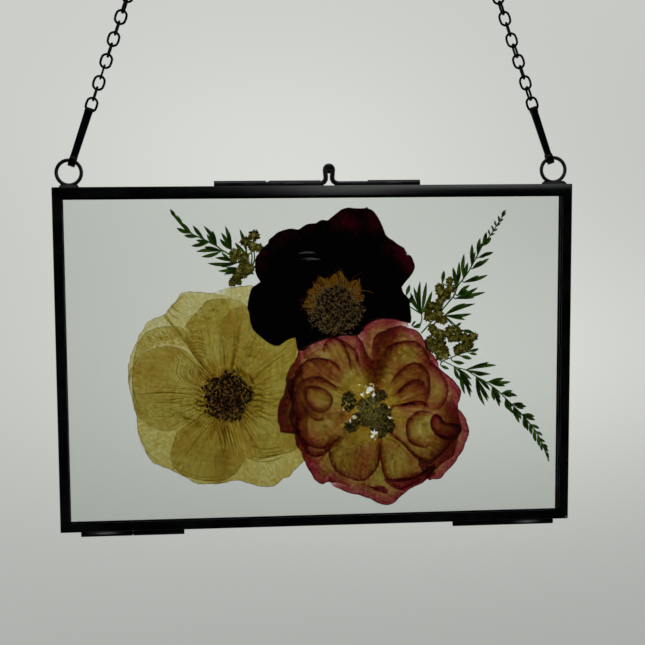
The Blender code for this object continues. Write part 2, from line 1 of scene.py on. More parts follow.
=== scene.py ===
"""Looks for a hanging glass frame with three pressed flowers.

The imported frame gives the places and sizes.  Around it this script models the chain's links, the
petals, the flower hearts, the fern sprigs and the buds, gives every surface its finish, and sets
the backdrop, the light and the camera.

Bench axes are millimetres: X to the right, Y from the front pane to the back pane, Z up, measured
from the middle of the front pane and from the plane midway between the two panes.
"""

from __future__ import annotations

import logging
import math
import random
from collections.abc import Callable, Iterable, Sequence
from dataclasses import dataclass
from enum import Enum

import bpy
import numpy as np
from mathutils import Euler, Matrix, Vector

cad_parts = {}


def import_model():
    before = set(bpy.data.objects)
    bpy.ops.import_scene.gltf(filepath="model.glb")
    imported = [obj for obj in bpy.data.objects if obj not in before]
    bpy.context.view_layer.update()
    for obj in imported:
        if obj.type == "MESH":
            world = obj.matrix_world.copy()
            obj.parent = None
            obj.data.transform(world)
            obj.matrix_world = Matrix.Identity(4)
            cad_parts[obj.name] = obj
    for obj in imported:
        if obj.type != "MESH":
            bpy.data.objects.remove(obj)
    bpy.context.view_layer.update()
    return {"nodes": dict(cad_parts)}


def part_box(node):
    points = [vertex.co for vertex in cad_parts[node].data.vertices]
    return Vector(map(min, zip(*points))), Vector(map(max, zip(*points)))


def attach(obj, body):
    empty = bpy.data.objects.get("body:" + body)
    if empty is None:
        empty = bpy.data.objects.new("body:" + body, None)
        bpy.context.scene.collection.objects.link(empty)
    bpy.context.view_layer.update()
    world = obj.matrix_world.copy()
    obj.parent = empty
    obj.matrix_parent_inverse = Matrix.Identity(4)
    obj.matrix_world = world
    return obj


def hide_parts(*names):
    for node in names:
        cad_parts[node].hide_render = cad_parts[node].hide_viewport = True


LOG = logging.getLogger("flower_frame")
MM = 0.001
SPLINE_STEPS = 12
MERGE_DISTANCE = 1e-7
SMOOTH_DEGREES = 50
Colour = tuple[float, float, float]
Point = tuple[float, float]
Point3 = tuple[float, float, float]
Array = np.ndarray
Piece = bpy.types.Object
Material = bpy.types.Material
Node = bpy.types.Node
Tree = bpy.types.NodeTree
Socket = bpy.types.NodeSocket
Feed = Socket | float | tuple[float, ...]


# ---- Places ----


class Body(Enum):
    """The moving bodies that new pieces ride on."""

    HANGER = "hanger"
    BACK = "back_leaf"


class Slot(Enum):
    """The record's material slots, one for each finish of the new pieces."""

    METAL = "black_metal"
    CREAM = "cream_petal"
    DARK = "dark_petal"
    ROSE = "rose_petal"
    PURPLE_HEART = "purple_heart"
    GOLDEN_HEART = "golden_heart"
    OLIVE_HEART = "olive_heart"
    SPRIG = "sprig_green"
    BUD = "dry_bud"


@dataclass(frozen=True)
class Bench:
    """The frame's own axes, in millimetres from the middle of the front leaf."""

    origin: Point3

    @classmethod
    def from_frame(cls) -> Bench:
        """Finds the bench axes from the two glass panes.

        Returns:
            The bench.
        """
        front_low, front_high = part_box("front_glass")
        back_low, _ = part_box("back_glass")
        middle = (Vector(front_low) + Vector(front_high)) / 2
        return cls((middle.x, (front_high[1] + back_low[1]) / 2, middle.z))

    def world(self, points: Array) -> Array:
        """Bench millimetres to world metres."""
        return np.asarray(points, float) * MM + np.array(self.origin)

    def local(self, points: Array) -> Array:
        """World metres to bench millimetres."""
        return (np.asarray(points, float) - np.array(self.origin)) / MM

    def box(self, node: str) -> tuple[Array, Array]:
        """A node's lowest and highest corner in bench millimetres."""
        low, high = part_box(node)
        return self.local(low), self.local(high)

    def middle_y(self, node: str) -> float:
        """The depth of the middle of a flat node."""
        low, high = self.box(node)
        return float(low[1] + high[1]) / 2


@dataclass(frozen=True)
class PhotoView:
    """Where the photograph was taken from, fitted to the outline of the rims."""

    bench: Bench
    side_px: float = 645.0
    focal_px: float = 1400.0
    sensor_mm: float = 36.0
    stand: Point3 = (-36.2, -412.97, 55.46)
    turn_degrees: Point3 = (83.769, 0.329, -5.303)

    def rotation(self) -> Euler:
        """The camera's turn."""
        return Euler([math.radians(angle) for angle in self.turn_degrees])

    def on_plane(self, x_px: float, y_px: float, depth: float) -> Point:
        """Finds what a point of the photograph shows on a plane parallel to the panes.

        Args:
            x_px: distance from the photograph's left edge, in pixels.
            y_px: distance from its top edge.
            depth: the plane's Y on the bench.

        Returns:
            The bench X and Z of the point.
        """
        half = self.side_px / 2
        ray = Vector(((x_px - half) / self.focal_px, (half - y_px) / self.focal_px, -1.0))
        ray.rotate(self.rotation())
        reach = (depth - self.stand[1]) / ray.y
        return self.stand[0] + reach * ray.x, self.stand[2] + reach * ray.z

    def build(self) -> Piece:
        """Makes the camera and gives it to the scene.

        Returns:
            The camera.
        """
        data = bpy.data.cameras.new("photo_camera")
        data.sensor_width = self.sensor_mm
        data.lens = self.focal_px / self.side_px * self.sensor_mm
        camera = bpy.data.objects.new("photo_camera", data)
        camera.location = self.bench.world(np.array(self.stand))
        camera.rotation_euler = self.rotation()
        bpy.context.scene.collection.objects.link(camera)
        bpy.context.scene.camera = camera
        return camera


@dataclass(frozen=True)
class Crop:
    """An enlarged part of the photograph in which points were read."""

    view: PhotoView
    left: float
    top: float
    zoom: float
    depth: float = 0.0

    def at(self, point: Point) -> Point:
        """The bench X and Z of a point of the enlargement."""
        x_px, y_px = self.left + point[0] / self.zoom, self.top + point[1] / self.zoom
        return self.view.on_plane(x_px, y_px, self.depth)

    def all(self, points: Iterable[Point]) -> list[Point]:
        """The bench places of a row of points."""
        return [self.at(point) for point in points]


# ---- Modelling ----


def clear_selection() -> None:
    """Leaves edit mode and deselects everything."""
    if bpy.context.object and bpy.context.object.mode != "OBJECT":
        bpy.ops.object.mode_set(mode="OBJECT")
    bpy.ops.object.select_all(action="DESELECT")


def choose(piece: Piece) -> None:
    """Makes one object the only selected and the active one.

    Args:
        piece: the object.
    """
    clear_selection()
    piece.select_set(True)
    bpy.context.view_layer.objects.active = piece


def apply_modifier(piece: Piece, kind: str, **settings: object) -> None:
    """Adds a modifier with its settings and applies it.

    Args:
        piece: the object to change.
        kind: the modifier's type.
        settings: the modifier's properties.
    """
    choose(piece)
    modifier = piece.modifiers.new(kind.lower(), kind)
    for name, value in settings.items():
        setattr(modifier, name, value)
    bpy.ops.object.modifier_apply(modifier=modifier.name)


def pick_vertices(piece: Piece, test: Callable[[Vector], bool]) -> None:
    """Selects the vertices that pass a test and goes into edit mode.

    Args:
        piece: the object, which becomes the active one.
        test: a function of a vertex's place that says whether it is selected.
    """
    choose(piece)
    bpy.ops.object.mode_set(mode="EDIT")
    bpy.ops.mesh.select_mode(type="VERT")
    bpy.ops.mesh.select_all(action="DESELECT")
    bpy.ops.object.mode_set(mode="OBJECT")
    for vertex in piece.data.vertices:
        vertex.select = bool(test(vertex.co))
    bpy.ops.object.mode_set(mode="EDIT")


@dataclass
class Pattern:
    """A small shape that was modelled once, kept as points and faces for copying."""

    points: Array
    faces: list[tuple[int, ...]]
    uv: Array | None = None

    @classmethod
    def taken_from(cls, piece: Piece) -> Pattern:
        """Reads a modelled object and removes it.

        Args:
            piece: the modelled object.

        Returns:
            Its points and faces.
        """
        points = np.array([vertex.co[:] for vertex in piece.data.vertices])
        faces = [tuple(face.vertices) for face in piece.data.polygons]
        bpy.data.objects.remove(piece)
        return cls(points, faces)

    @classmethod
    def sheet(cls, along: int, across: int) -> Pattern:
        """A flat grid whose points run from 0 to 1 along and across.

        Args:
            along: how many faces it has from base to tip.
            across: how many faces it has from side to side.

        Returns:
            The grid, with its own points as its UV places.
        """
        clear_selection()
        bpy.ops.mesh.primitive_grid_add(x_subdivisions=along, y_subdivisions=across, size=1)
        grid = cls.taken_from(bpy.context.object)
        grid.uv = grid.points[:, :2] + 0.5
        return grid

    @classmethod
    def bead(cls) -> Pattern:
        """A rounded bead of unit radius with twenty faces.

        Returns:
            The bead.
        """
        clear_selection()
        bpy.ops.mesh.primitive_ico_sphere_add(subdivisions=1, radius=1)
        return cls.taken_from(bpy.context.object)


class Press:
    """Collects copies of patterns and makes one mesh of them."""

    def __init__(self, bench: Bench) -> None:
        """Starts with nothing in the press.

        Args:
            bench: the axes that the copies are placed by.
        """
        self.bench = bench
        self.points: list[Array] = []
        self.uvs: list[Array] = []
        self.faces: list[tuple[int, ...]] = []
        self.values: dict[str, list[Array]] = {}
        self.count = 0

    def add(self, pattern: Pattern, points: Array, **values: Array | float) -> None:
        """Puts one copy of a pattern in the press.

        Args:
            pattern: the shape whose faces are copied.
            points: where the copy's points go, in bench millimetres.
            values: numbers kept with the points, for the finishes to read.
        """
        size = len(pattern.points)
        self.points.append(np.asarray(points, float))
        self.uvs.append(pattern.uv if pattern.uv is not None else np.zeros((size, 2)))
        self.faces.extend(tuple(self.count + corner for corner in face) for face in pattern.faces)
        for name, value in values.items():
            self.values.setdefault(name, []).append(np.broadcast_to(value, (size,)).astype(float))
        self.count += size

    def make(self, name: str, thickness: float = 0.0) -> Piece:
        """Makes the mesh, closes its poles and gives sheets their thickness.

        Args:
            name: the new object's name.
            thickness: how thick flat sheets become, in millimetres, or 0 for solid copies.

        Returns:
            The object, at the origin with its place in its mesh.
        """
        mesh = bpy.data.meshes.new(name)
        mesh.from_pydata(self.bench.world(np.vstack(self.points)).tolist(), [], self.faces)
        layer = mesh.uv_layers.new(name="UVMap")
        corners = np.empty(len(mesh.loops), dtype=np.int32)
        mesh.loops.foreach_get("vertex_index", corners)
        layer.data.foreach_set("uv", np.vstack(self.uvs)[corners].ravel())
        for label, rows in self.values.items():
            attribute = mesh.attributes.new(label, "FLOAT", "POINT")
            attribute.data.foreach_set("value", np.concatenate(rows))
        piece = bpy.data.objects.new(name, mesh)
        bpy.context.scene.collection.objects.link(piece)
        choose(piece)
        if thickness:
            bpy.ops.object.mode_set(mode="EDIT")
            bpy.ops.mesh.select_all(action="SELECT")
            bpy.ops.mesh.remove_doubles(threshold=MERGE_DISTANCE)
            bpy.ops.object.mode_set(mode="OBJECT")
            apply_modifier(piece, "SOLIDIFY", thickness=thickness * MM, offset=0.0)
        bpy.ops.object.shade_smooth_by_angle(angle=math.radians(SMOOTH_DEGREES))
        return piece


def smooth_curve(points: Sequence[Point], samples: int, closed: bool) -> Array:
    """A smooth curve through given points, with its samples evenly spaced.

    Args:
        points: the points that the curve passes through.
        samples: how many points the result has.
        closed: whether the curve returns to its first point.

    Returns:
        An array of X and Z places. A closed curve doesn't repeat its first point.
    """
    row = np.array(points, float)
    if closed:
        row = np.vstack([row[-1], row, row[0], row[1]])
    else:
        row = np.vstack([2 * row[0] - row[1], row, 2 * row[-1] - row[-2]])
    steps = np.linspace(0, 1, SPLINE_STEPS, endpoint=False)[:, None]
    parts = []
    for a, b, c, d in zip(row, row[1:], row[2:], row[3:]):
        bend = (2 * a - 5 * b + 4 * c - d) * steps**2 + (3 * b - a - 3 * c + d) * steps**3
        parts.append((2 * b + (c - a) * steps + bend) / 2)
    fine = np.vstack([*parts, row[-2:-1]])
    length = np.concatenate([[0], np.cumsum(np.linalg.norm(np.diff(fine, axis=0), axis=1))])
    wanted = np.linspace(0, length[-1], samples, endpoint=not closed)
    return np.stack([np.interp(wanted, length, fine[:, k]) for k in (0, 1)], axis=1)


def rim_distance(places: Array, rim: Array) -> Array:
    """How far each place is from a rim.

    Args:
        places: X and Z of the places.
        rim: X and Z of the rim's points, in order.

    Returns:
        The distances, in millimetres.
    """
    start, step = rim[:-1], np.diff(rim, axis=0)
    offset = places[:, None, :] - start[None]
    share = (offset * step).sum(2) / np.maximum((step**2).sum(1), 1e-9)
    nearest = offset - np.clip(share, 0, 1)[..., None] * step
    return np.sqrt((nearest**2).sum(2)).min(1)


def spread(row: Array, places: Array) -> Array:
    """Reads a row of points at places from 0 at its first point to 1 at its last."""
    steps = np.linspace(0, 1, len(row))
    return np.stack([np.interp(places, steps, side) for side in row.T], axis=1)


def at_depth(flat: Array, depth: Array | float) -> Array:
    """Bench places of rows of X and Z that lie at one depth, or each at its own."""
    return np.insert(flat, 1, depth, axis=1)


def beside(path: Array, row: Array, offset: Array) -> Array:
    """Finds places beside a path.

    Args:
        path: X and Z of its points, in order.
        row: the number of the point that each place is beside.
        offset: how far to the side each place is.

    Returns:
        X and Z of the places.
    """
    step = np.gradient(path, axis=0)
    side = np.stack([-step[:, 1], step[:, 0]], axis=1) / np.linalg.norm(step, axis=1)[:, None]
    return path[row] + side[row] * offset[:, None]


def seed_turn(number: int) -> float:
    """The turn of each grain in an even scatter round a middle, as seeds sit in a flower's head."""
    return number * math.pi * (3 - math.sqrt(5))


def held(value: float) -> float:
    """Holds a number between 0 and 1."""
    return min(1.0, max(0.0, value))


def turned(pattern: Pattern, place: Sequence[float], half: Sequence[float], angle: float) -> Array:
    """Stretches a pattern, turns it in the plane of the panes and puts it in its place.

    Args:
        pattern: the shape, about two units across.
        place: where its middle goes, as X, Y and Z on the bench.
        half: its half sizes along its own length, through the panes, and across.
        angle: how far its length is turned from X towards Z, in radians.

    Returns:
        The places of its points.
    """
    along, through, across = (pattern.points * np.array(half)).T
    x = place[0] + along * math.cos(angle) - across * math.sin(angle)
    z = place[2] + along * math.sin(angle) + across * math.cos(angle)
    return np.stack([x, place[1] + through, z], axis=1)


# ---- Finishes ----


class Wiring:
    """Adds nodes to one node tree and joins them."""

    def __init__(self, tree: Tree) -> None:
        """Keeps the tree that is wired."""
        self.tree = tree

    def add(self, kind: str, **settings: object) -> Node:
        """Adds a node with its settings.

        Args:
            kind: the node's type.
            settings: its properties.

        Returns:
            The node.
        """
        node = self.tree.nodes.new(kind)
        for name, value in settings.items():
            setattr(node, name, value)
        return node

    def feed(self, socket: Socket, value: Feed) -> None:
        """Joins a socket to another one, or sets its own value.

        Args:
            socket: an input.
            value: another node's output, or a plain value.
        """
        if isinstance(value, Socket):
            self.tree.links.new(value, socket)
        elif isinstance(value, tuple) and len(value) == 3 and socket.type == "RGBA":
            socket.default_value = (*value, 1.0)
        else:
            socket.default_value = value

    def sum(self, operation: str, *values: Feed) -> Socket:
        """A Math node's result for one to three values.

        Args:
            operation: the node's operation.
            values: the numbers, in order.

        Returns:
            The result.
        """
        node = self.add("ShaderNodeMath", operation=operation)
        for socket, value in zip(node.inputs, values):
            self.feed(socket, value)
        return node.outputs[0]

    def fill(self, node: Node, values: dict[str, Feed]) -> None:
        """Joins or sets some of a node's inputs, given by their names."""
        for name, value in values.items():
            self.feed(node.inputs[name], value)

    def times(self, one: Feed, other: Feed) -> Socket:
        """The product of two numbers."""
        return self.sum("MULTIPLY", one, other)

    def scaled(self, value: Feed, gain: Feed, base: Feed) -> Socket:
        """A number times its gain, on top of a base."""
        return self.sum("MULTIPLY_ADD", value, gain, base)

    def span(self, value: Feed, low: Feed, high: Feed, first: float = 0.0, last: float = 1.0) -> Socket:
        """Maps low..high smoothly to first..last and holds the ends.

        Args:
            value: the number to map.
            low: where the result is first.
            high: where the result is last.
            first: the result at low.
            last: the result at high.

        Returns:
            The mapped number.
        """
        node = self.add("ShaderNodeMapRange", interpolation_type="SMOOTHSTEP")
        for socket, feed in zip(node.inputs, (value, low, high, first, last)):
            self.feed(socket, feed)
        return node.outputs["Result"]

    def mix(self, share: Feed, one: Feed, other: Feed, blend: str = "MIX") -> Socket:
        """Mixes two colours.

        Args:
            share: how much of the other colour.
            one: the first colour.
            other: the second colour.
            blend: how they are mixed.

        Returns:
            The mixed colour.
        """
        node = self.add("ShaderNodeMix", data_type="RGBA", blend_type=blend)
        sockets = [s for s in node.inputs if s.enabled]
        for socket, value in zip(sockets, (share, one, other)):
            self.feed(socket, value)
        return next(s for s in node.outputs if s.enabled)

    def noise(self, vector: Feed, scale: Feed, detail: float = 3.0, rough: float = 0.55) -> Socket:
        """A noise texture's value.

        Args:
            vector: the place it is read at.
            scale: how many features there are to a unit.
            detail: how many finer layers it has.
            rough: how strong the finer layers are.

        Returns:
            The noise, mostly between 0.3 and 0.7.
        """
        node = self.add("ShaderNodeTexNoise")
        self.fill(node, {"Vector": vector, "Scale": scale, "Detail": detail, "Roughness": rough})
        return node.outputs["Fac"]

    def ramp(self, value: Feed, stops: Sequence[tuple[float, Colour]]) -> Socket:
        """A colour ramp's colour.

        Args:
            value: the place on the ramp.
            stops: each stop's place and colour.

        Returns:
            The colour.
        """
        node = self.add("ShaderNodeValToRGB")
        self.feed(node.inputs["Fac"], value)
        elements = node.color_ramp.elements
        while len(elements) < len(stops):
            elements.new(0.5)
        for element, (place, _) in zip(elements, stops):
            element.position = place
        for element, (_, colour) in zip(elements, stops):
            element.color = (*colour, 1.0)
        return node.outputs["Color"]

    def attribute(self, name: str) -> Socket:
        """A number that the mesh keeps with its points."""
        return self.add("ShaderNodeAttribute", attribute_name=name).outputs["Fac"]

    def vector(self, x: Feed, y: Feed, z: Feed = 0.0) -> Socket:
        """A vector of three numbers.

        Args:
            x: the first number.
            y: the second.
            z: the third.

        Returns:
            The vector.
        """
        node = self.add("ShaderNodeCombineXYZ")
        for socket, value in zip(node.inputs, (x, y, z)):
            self.feed(socket, value)
        return node.outputs[0]

    def place(self) -> Socket:
        """The place on the object, in its own metres."""
        return self.add("ShaderNodeTexCoord").outputs["Object"]

    def axes(self, vector: Feed) -> tuple[Socket, ...]:
        """The X, Y and Z of a vector.

        Args:
            vector: the vector.

        Returns:
            Its three numbers.
        """
        node = self.add("ShaderNodeSeparateXYZ")
        self.feed(node.inputs[0], vector)
        return tuple(node.outputs)

    def bump(self, height: Feed, strength: float, distance: float) -> Socket:
        """A normal that is tipped by a height.

        Args:
            height: the height, about 0 to 1.
            strength: how much of it shows.
            distance: the real height of 1, in metres.

        Returns:
            The normal.
        """
        node = self.add("ShaderNodeBump")
        self.fill(node, {"Strength": strength, "Distance": distance, "Height": height})
        return node.outputs["Normal"]

    def group(self, tree: Tree, **values: Feed) -> Node:
        """Places an effect group with its own values."""
        node = self.add("ShaderNodeGroup", node_tree=tree)
        self.fill(node, values)
        return node


def new_group(name: str, inputs: dict[str, float], outputs: Sequence[str]) -> tuple[Wiring, Node, Node]:
    """Starts an effect group of plain numbers.

    Args:
        name: the group's name.
        inputs: its inputs, with their usual values.
        outputs: its outputs.

    Returns:
        Its wiring, its input node and its output node.
    """
    tree = bpy.data.node_groups.new(name, "ShaderNodeTree")
    for label, usual in inputs.items():
        socket = tree.interface.new_socket(name=label, in_out="INPUT", socket_type="NodeSocketFloat")
        socket.default_value = usual
    for label in outputs:
        tree.interface.new_socket(name=label, in_out="OUTPUT", socket_type="NodeSocketFloat")
    wires = Wiring(tree)
    return wires, wires.add("NodeGroupInput"), wires.add("NodeGroupOutput")


def petal_fibre_group() -> Tree:
    """Fibres that fan out from the flower's middle, broad blotches, cross wrinkles and fine crumpling.

    Returns:
        The group.
    """
    inputs = {"Turn": 0.0, "Reach": 0.0, "Fineness": 40.0}
    wires, given, result = new_group("petal_fibres", inputs, ("Fibre", "Blotch", "Crinkle", "Crumple"))
    turn, reach, fineness = (given.outputs[name] for name in inputs)
    place = wires.place()
    fan = wires.vector(wires.times(turn, fineness), wires.times(reach, 0.14))
    fibre = wires.span(wires.noise(fan, 1.0, 5.0, 0.75), 0.44, 0.64)
    blotch = wires.span(wires.noise(place, 110.0, 4.0, 0.6), 0.35, 0.68)
    wander = wires.noise(place, 170.0, 2.0)
    phase = wires.scaled(wander, 26.0, wires.times(reach, 2.4))
    ridge = wires.span(wires.sum("SINE", phase), 0.55, 1.0)
    patch = wires.span(wires.noise(place, 75.0, 2.0), 0.47, 0.6)
    rays = wires.vector(wires.times(turn, 26.0), wires.times(reach, 0.9))
    lines = wires.noise(rays, 1.0, 4.0, 0.7)
    grain = wires.noise(place, 900.0, 4.0, 0.7)
    grain = wires.scaled(grain, 0.6, wires.times(lines, 0.4))
    crumple = wires.span(grain, 0.4, 0.6, -1.0, 1.0)
    crinkle = wires.times(ridge, patch)
    wires.fill(result, {"Fibre": fibre, "Blotch": blotch, "Crinkle": crinkle, "Crumple": crumple})
    return wires.tree


def wear_group() -> Tree:
    """Cloudy patches and fine scratches along X, on metal and glass.

    Returns:
        The group.
    """
    wires, given, result = new_group("surface_wear", {"Patch Scale": 120.0}, ("Patch", "Scratch"))
    place = wires.place()
    cloud = wires.noise(place, given.outputs["Patch Scale"], 5.0, 0.5)
    x, y, z = wires.axes(place)
    across = (wires.times(side, 1800.0) for side in (z, y))
    lines = wires.noise(wires.vector(wires.times(x, 60.0), *across), 1.0, 2.0)
    wires.fill(result, {"Patch": wires.span(cloud, 0.35, 0.7), "Scratch": wires.span(lines, 0.55, 0.72)})
    return wires.tree


def new_material(name: str) -> tuple[Material, Wiring, Node]:
    """Starts a material with its main shader.

    Args:
        name: the material's name.

    Returns:
        The material, its wiring and its Principled shader.
    """
    material = bpy.data.materials.new(name)
    material.use_nodes = True
    wires = Wiring(material.node_tree)
    return material, wires, material.node_tree.nodes["Principled BSDF"]


@dataclass(frozen=True)
class SoftSpot:
    """An oval spot that fades outwards: its middle, its half sizes and its strength."""

    middle: Point
    half: Point
    strength: float

    def added(self, wires: Wiring, x: Feed, z: Feed, level: Feed) -> Socket:
        """Adds the spot to a level.

        Args:
            wires: the material's wiring.
            x: the first measure of the place that is shaded.
            z: its second measure.
            level: what the spot is added to.

        Returns:
            The new level.
        """
        steps = (wires.sum("SUBTRACT", at, middle) for at, middle in zip((x, z), self.middle))
        parts = [wires.sum("DIVIDE", step, half) for step, half in zip(steps, self.half)]
        far = wires.sum("ADD", *(wires.times(part, part) for part in parts))
        spot = wires.sum("EXPONENT", wires.times(far, -1.0))
        return wires.scaled(spot, self.strength, level)


@dataclass(frozen=True)
class PaintedGlint:
    """A long spot of painted highlight on the metal: read in pixels, with half sizes in millimetres."""

    middle_px: Point
    half: Point
    painted_glint: float

    def on_bench(self, view: PhotoView, depth: float) -> SoftSpot:
        """Gives it as a spot in world X and Z, for metal at a depth.

        Args:
            view: the camera's view.
            depth: the metal's Y.

        Returns:
            The spot.
        """
        x, z = view.on_plane(*self.middle_px, depth)
        spot = view.bench.world(np.array([x, depth, z]))
        return SoftSpot((float(spot[0]), float(spot[2])), (self.half[0] * MM, self.half[1] * MM), self.painted_glint)


# Painted highlights on the metal: the top rail's top edge and the face below it, and a glint on each hinge.
PAINTED_GLINTS = (
    PaintedGlint((345.0, 187.0), (30.0, 0.9), 0.16),
    PaintedGlint((345.0, 190.5), (18.0, 1.4), 0.2),
    PaintedGlint((480.0, 186.0), (34.0, 0.7), 0.3),
    PaintedGlint((105.0, 533.6), (3.2, 0.42), 0.8),
    PaintedGlint((528.0, 522.0), (2.6, 0.5), 0.6),
)


@dataclass(frozen=True)
class BlackPatina:
    """Black chemical patina on soldered brass, satin, a little worn and scratched, with highlights painted
    into its colour at given spots.
    """

    name: str = "black_patina"
    dark: Colour = (0.0005, 0.0007, 0.0007)
    worn: Colour = (0.0022, 0.003, 0.0026)
    smooth: float = 0.28
    dull: float = 0.5
    # The pale colour painted in at the glint spots, standing in for highlights.
    painted_glint: Colour = (0.3, 0.315, 0.3)
    shine: float = 0.035
    scratch_gloss: float = -0.4
    relief: float = 0.35
    relief_height: float = 0.00004

    def build(self, wear: Tree, rubbed: Sequence[SoftSpot] = ()) -> Material:
        """Makes the material from the wear group and the spots of painted highlight.

        Args:
            wear: the wear group.
            rubbed: the spots where highlights are painted into the colour.

        Returns:
            The material.
        """
        material, wires, shader = new_material(self.name)
        worn = wires.group(wear)
        patch, scratch = worn.outputs["Patch"], worn.outputs["Scratch"]
        colour = wires.mix(patch, self.dark, self.worn)
        # Painted highlights: the pale glint colour is mixed into the base colour at each spot.
        if rubbed:
            x, _, z = wires.axes(wires.place())
            glint_share = 0.0
            for spot in rubbed:
                glint_share = spot.added(wires, x, z, glint_share)
            colour = wires.mix(glint_share, colour, self.painted_glint)
        gloss = wires.scaled(scratch, self.scratch_gloss, patch)
        rough = wires.span(gloss, 0.0, 1.0, self.smooth, self.dull)
        normal = wires.bump(wires.sum("ADD", patch, scratch), self.relief, self.relief_height)
        wires.fill(shader, {"Base Color": colour, "Roughness": rough, "Normal": normal})
        wires.fill(shader, {"Specular IOR Level": self.shine})
        return material


# A lighter, shinier copy of the patina for the latch and rings: its higher shine gives real reflections, and
# its lighter colours paint part of the sheen that these round parts catch.
PAINTED_SHEEN_PATINA = BlackPatina(
    "rubbed_patina",
    dark=(0.003, 0.0032, 0.0028),
    worn=(0.012, 0.013, 0.011),
    shine=0.2,
)


@dataclass(frozen=True)
class ClearGlass:
    """Clear float glass with a green cast and a few faint smears."""

    name: str = "clear_glass"
    tint: Colour = (0.942, 0.957, 0.941)
    smear: float = 0.03
    smear_scale: float = 45.0
    ior: float = 1.52

    def build(self, wear: Tree) -> Material:
        """Makes the material from the wear group.

        Args:
            wear: the wear group.

        Returns:
            The material.
        """
        material, wires, shader = new_material(self.name)
        worn = wires.group(wear, **{"Patch Scale": self.smear_scale})
        rough = wires.span(worn.outputs["Patch"], 0.6, 1.0, 0.0, self.smear)
        wires.fill(shader, {"Base Color": self.tint, "Roughness": rough})
        wires.fill(shader, {"IOR": self.ior, "Transmission Weight": 1.0})
        return material


def torn_through(wires: Wiring, holes: Sequence[Point3]) -> Socket:
    """Marks ragged round holes.

    Args:
        wires: the material's wiring.
        holes: world X, Z and radius of each hole.

    Returns:
        1 inside the holes and 0 elsewhere.
    """
    place = wires.place()
    ragged = wires.scaled(wires.noise(place, 1500.0, 2.0), 3.4, -0.7)
    x, _, z = wires.axes(place)
    open_parts = 0.0
    for middle_x, middle_z, radius in holes:
        steps = [wires.sum("SUBTRACT", x, middle_x), wires.sum("SUBTRACT", z, middle_z)]
        far = wires.sum("SQRT", wires.sum("ADD", *(wires.times(step, step) for step in steps)))
        near = wires.sum("DIVIDE", wires.times(far, ragged), radius)
        open_parts = wires.sum("MAXIMUM", open_parts, wires.span(near, 0.7, 1.0, 1.0, 0.0))
    return open_parts


def shine_through(material: Material, wires: Wiring, shader: Node, through: Socket, opaque: Feed) -> None:
    """Lets light through a film, apart from the share that its surface shader takes.

    Args:
        material: the film's material.
        wires: its wiring.
        shader: its surface shader.
        through: the colour of the light that comes through.
        opaque: the surface shader's share.
    """
    film = wires.add("ShaderNodeBsdfTransparent")
    wires.feed(film.inputs["Color"], through)
    both = wires.add("ShaderNodeMixShader")
    for socket, value in zip(both.inputs, (opaque, film.outputs[0], shader.outputs[0])):
        wires.feed(socket, value)
    wires.feed(material.node_tree.nodes["Material Output"].inputs["Surface"], both.outputs[0])


@dataclass(frozen=True)
class PetalFilm:
    """A dried petal that light passes through, dimmed as its own density says.

    Each colour is what one petal of density 1 lets through.
    """

    name: str
    body: Colour
    blotch: Colour
    stain: Colour
    rim: Colour
    edge: Colour
    surface: Colour = (0.5, 0.42, 0.3)
    stain_reach: tuple[float, float] = (5.0, 12.0)
    rim_width: float = 0.6
    rim_strength: float = 1.0
    edge_width: float = 0.25
    fibre_gain: float = 0.6
    blotch_gain: float = 0.25
    crinkle_gain: float = 0.6
    crumple_gain: float = 0.16
    heart_gain: float = 0.3
    gain_reach: tuple[float, float] = (6.0, 20.0)
    fineness: float = 40.0
    opaque: float = 0.2
    two_faces: float = 0.5
    surface_tint: float = 0.4
    rough: float = 0.5
    relief: float = 0.6
    relief_height: float = 0.0001

    def build(self, fibres: Tree, holes: Sequence[Point3] = ()) -> Material:
        """Makes the material from the fibre group.

        Args:
            fibres: the fibre group.
            holes: world X, Z and radius of the places where the petals are torn through.

        Returns:
            The material.
        """
        material, wires, shader = new_material(self.name)
        turn, reach, rim, fade = (wires.attribute(name) for name in ("turn", "reach", "rim", "fade"))
        fan = wires.group(fibres, Turn=turn, Reach=reach, Fineness=self.fineness)
        fibre, blotch, crinkle, crumple = fan.outputs
        colour = wires.mix(blotch, self.body, self.blotch)
        near = wires.scaled(fibre, self.stain_reach[0] - self.stain_reach[1], reach)
        stained = wires.span(near, self.stain_reach[0] * 0.3, self.stain_reach[0], 1.0, 0.0)
        colour = wires.mix(stained, colour, self.stain)
        ragged = wires.scaled(fibre, self.rim_width * 0.6, rim)
        band = wires.span(ragged, self.rim_width * 0.15, self.rim_width * 1.3, self.rim_strength, 0.0)
        colour = wires.mix(band, colour, self.rim)
        line = wires.span(rim, self.edge_width * 0.5, self.edge_width, 1.0, 0.0)
        colour = wires.mix(line, colour, self.edge)
        if holes:
            fade = wires.sum("MAXIMUM", fade, torn_through(wires, holes))
        depth = wires.scaled(fibre, self.fibre_gain, 1.0 - self.fibre_gain / 3)
        gains = ((blotch, self.blotch_gain), (crinkle, self.crinkle_gain), (crumple, self.crumple_gain))
        for value, gain in gains:
            depth = wires.scaled(value, gain, depth)
        depth = wires.sum("ADD", wires.span(reach, *self.gain_reach, self.heart_gain, 0.0), depth)
        depth = wires.times(wires.attribute("tint"), depth)
        depth = wires.times(wires.sum("SUBTRACT", 1.0, fade), depth)
        gamma = wires.add("ShaderNodeGamma")
        wires.fill(gamma, {"Color": colour, "Gamma": wires.times(depth, self.two_faces)})
        through = gamma.outputs["Color"]
        surface = wires.mix(self.surface_tint, self.surface, through, "MULTIPLY")
        height = wires.scaled(crinkle, 0.8, wires.scaled(fibre, 0.5, crumple))
        normal = wires.bump(height, self.relief, self.relief_height)
        wires.fill(shader, {"Base Color": surface, "Roughness": self.rough, "Normal": normal})
        share = wires.scaled(fade, -self.opaque, self.opaque)
        shine_through(material, wires, shader, through, share)
        return material


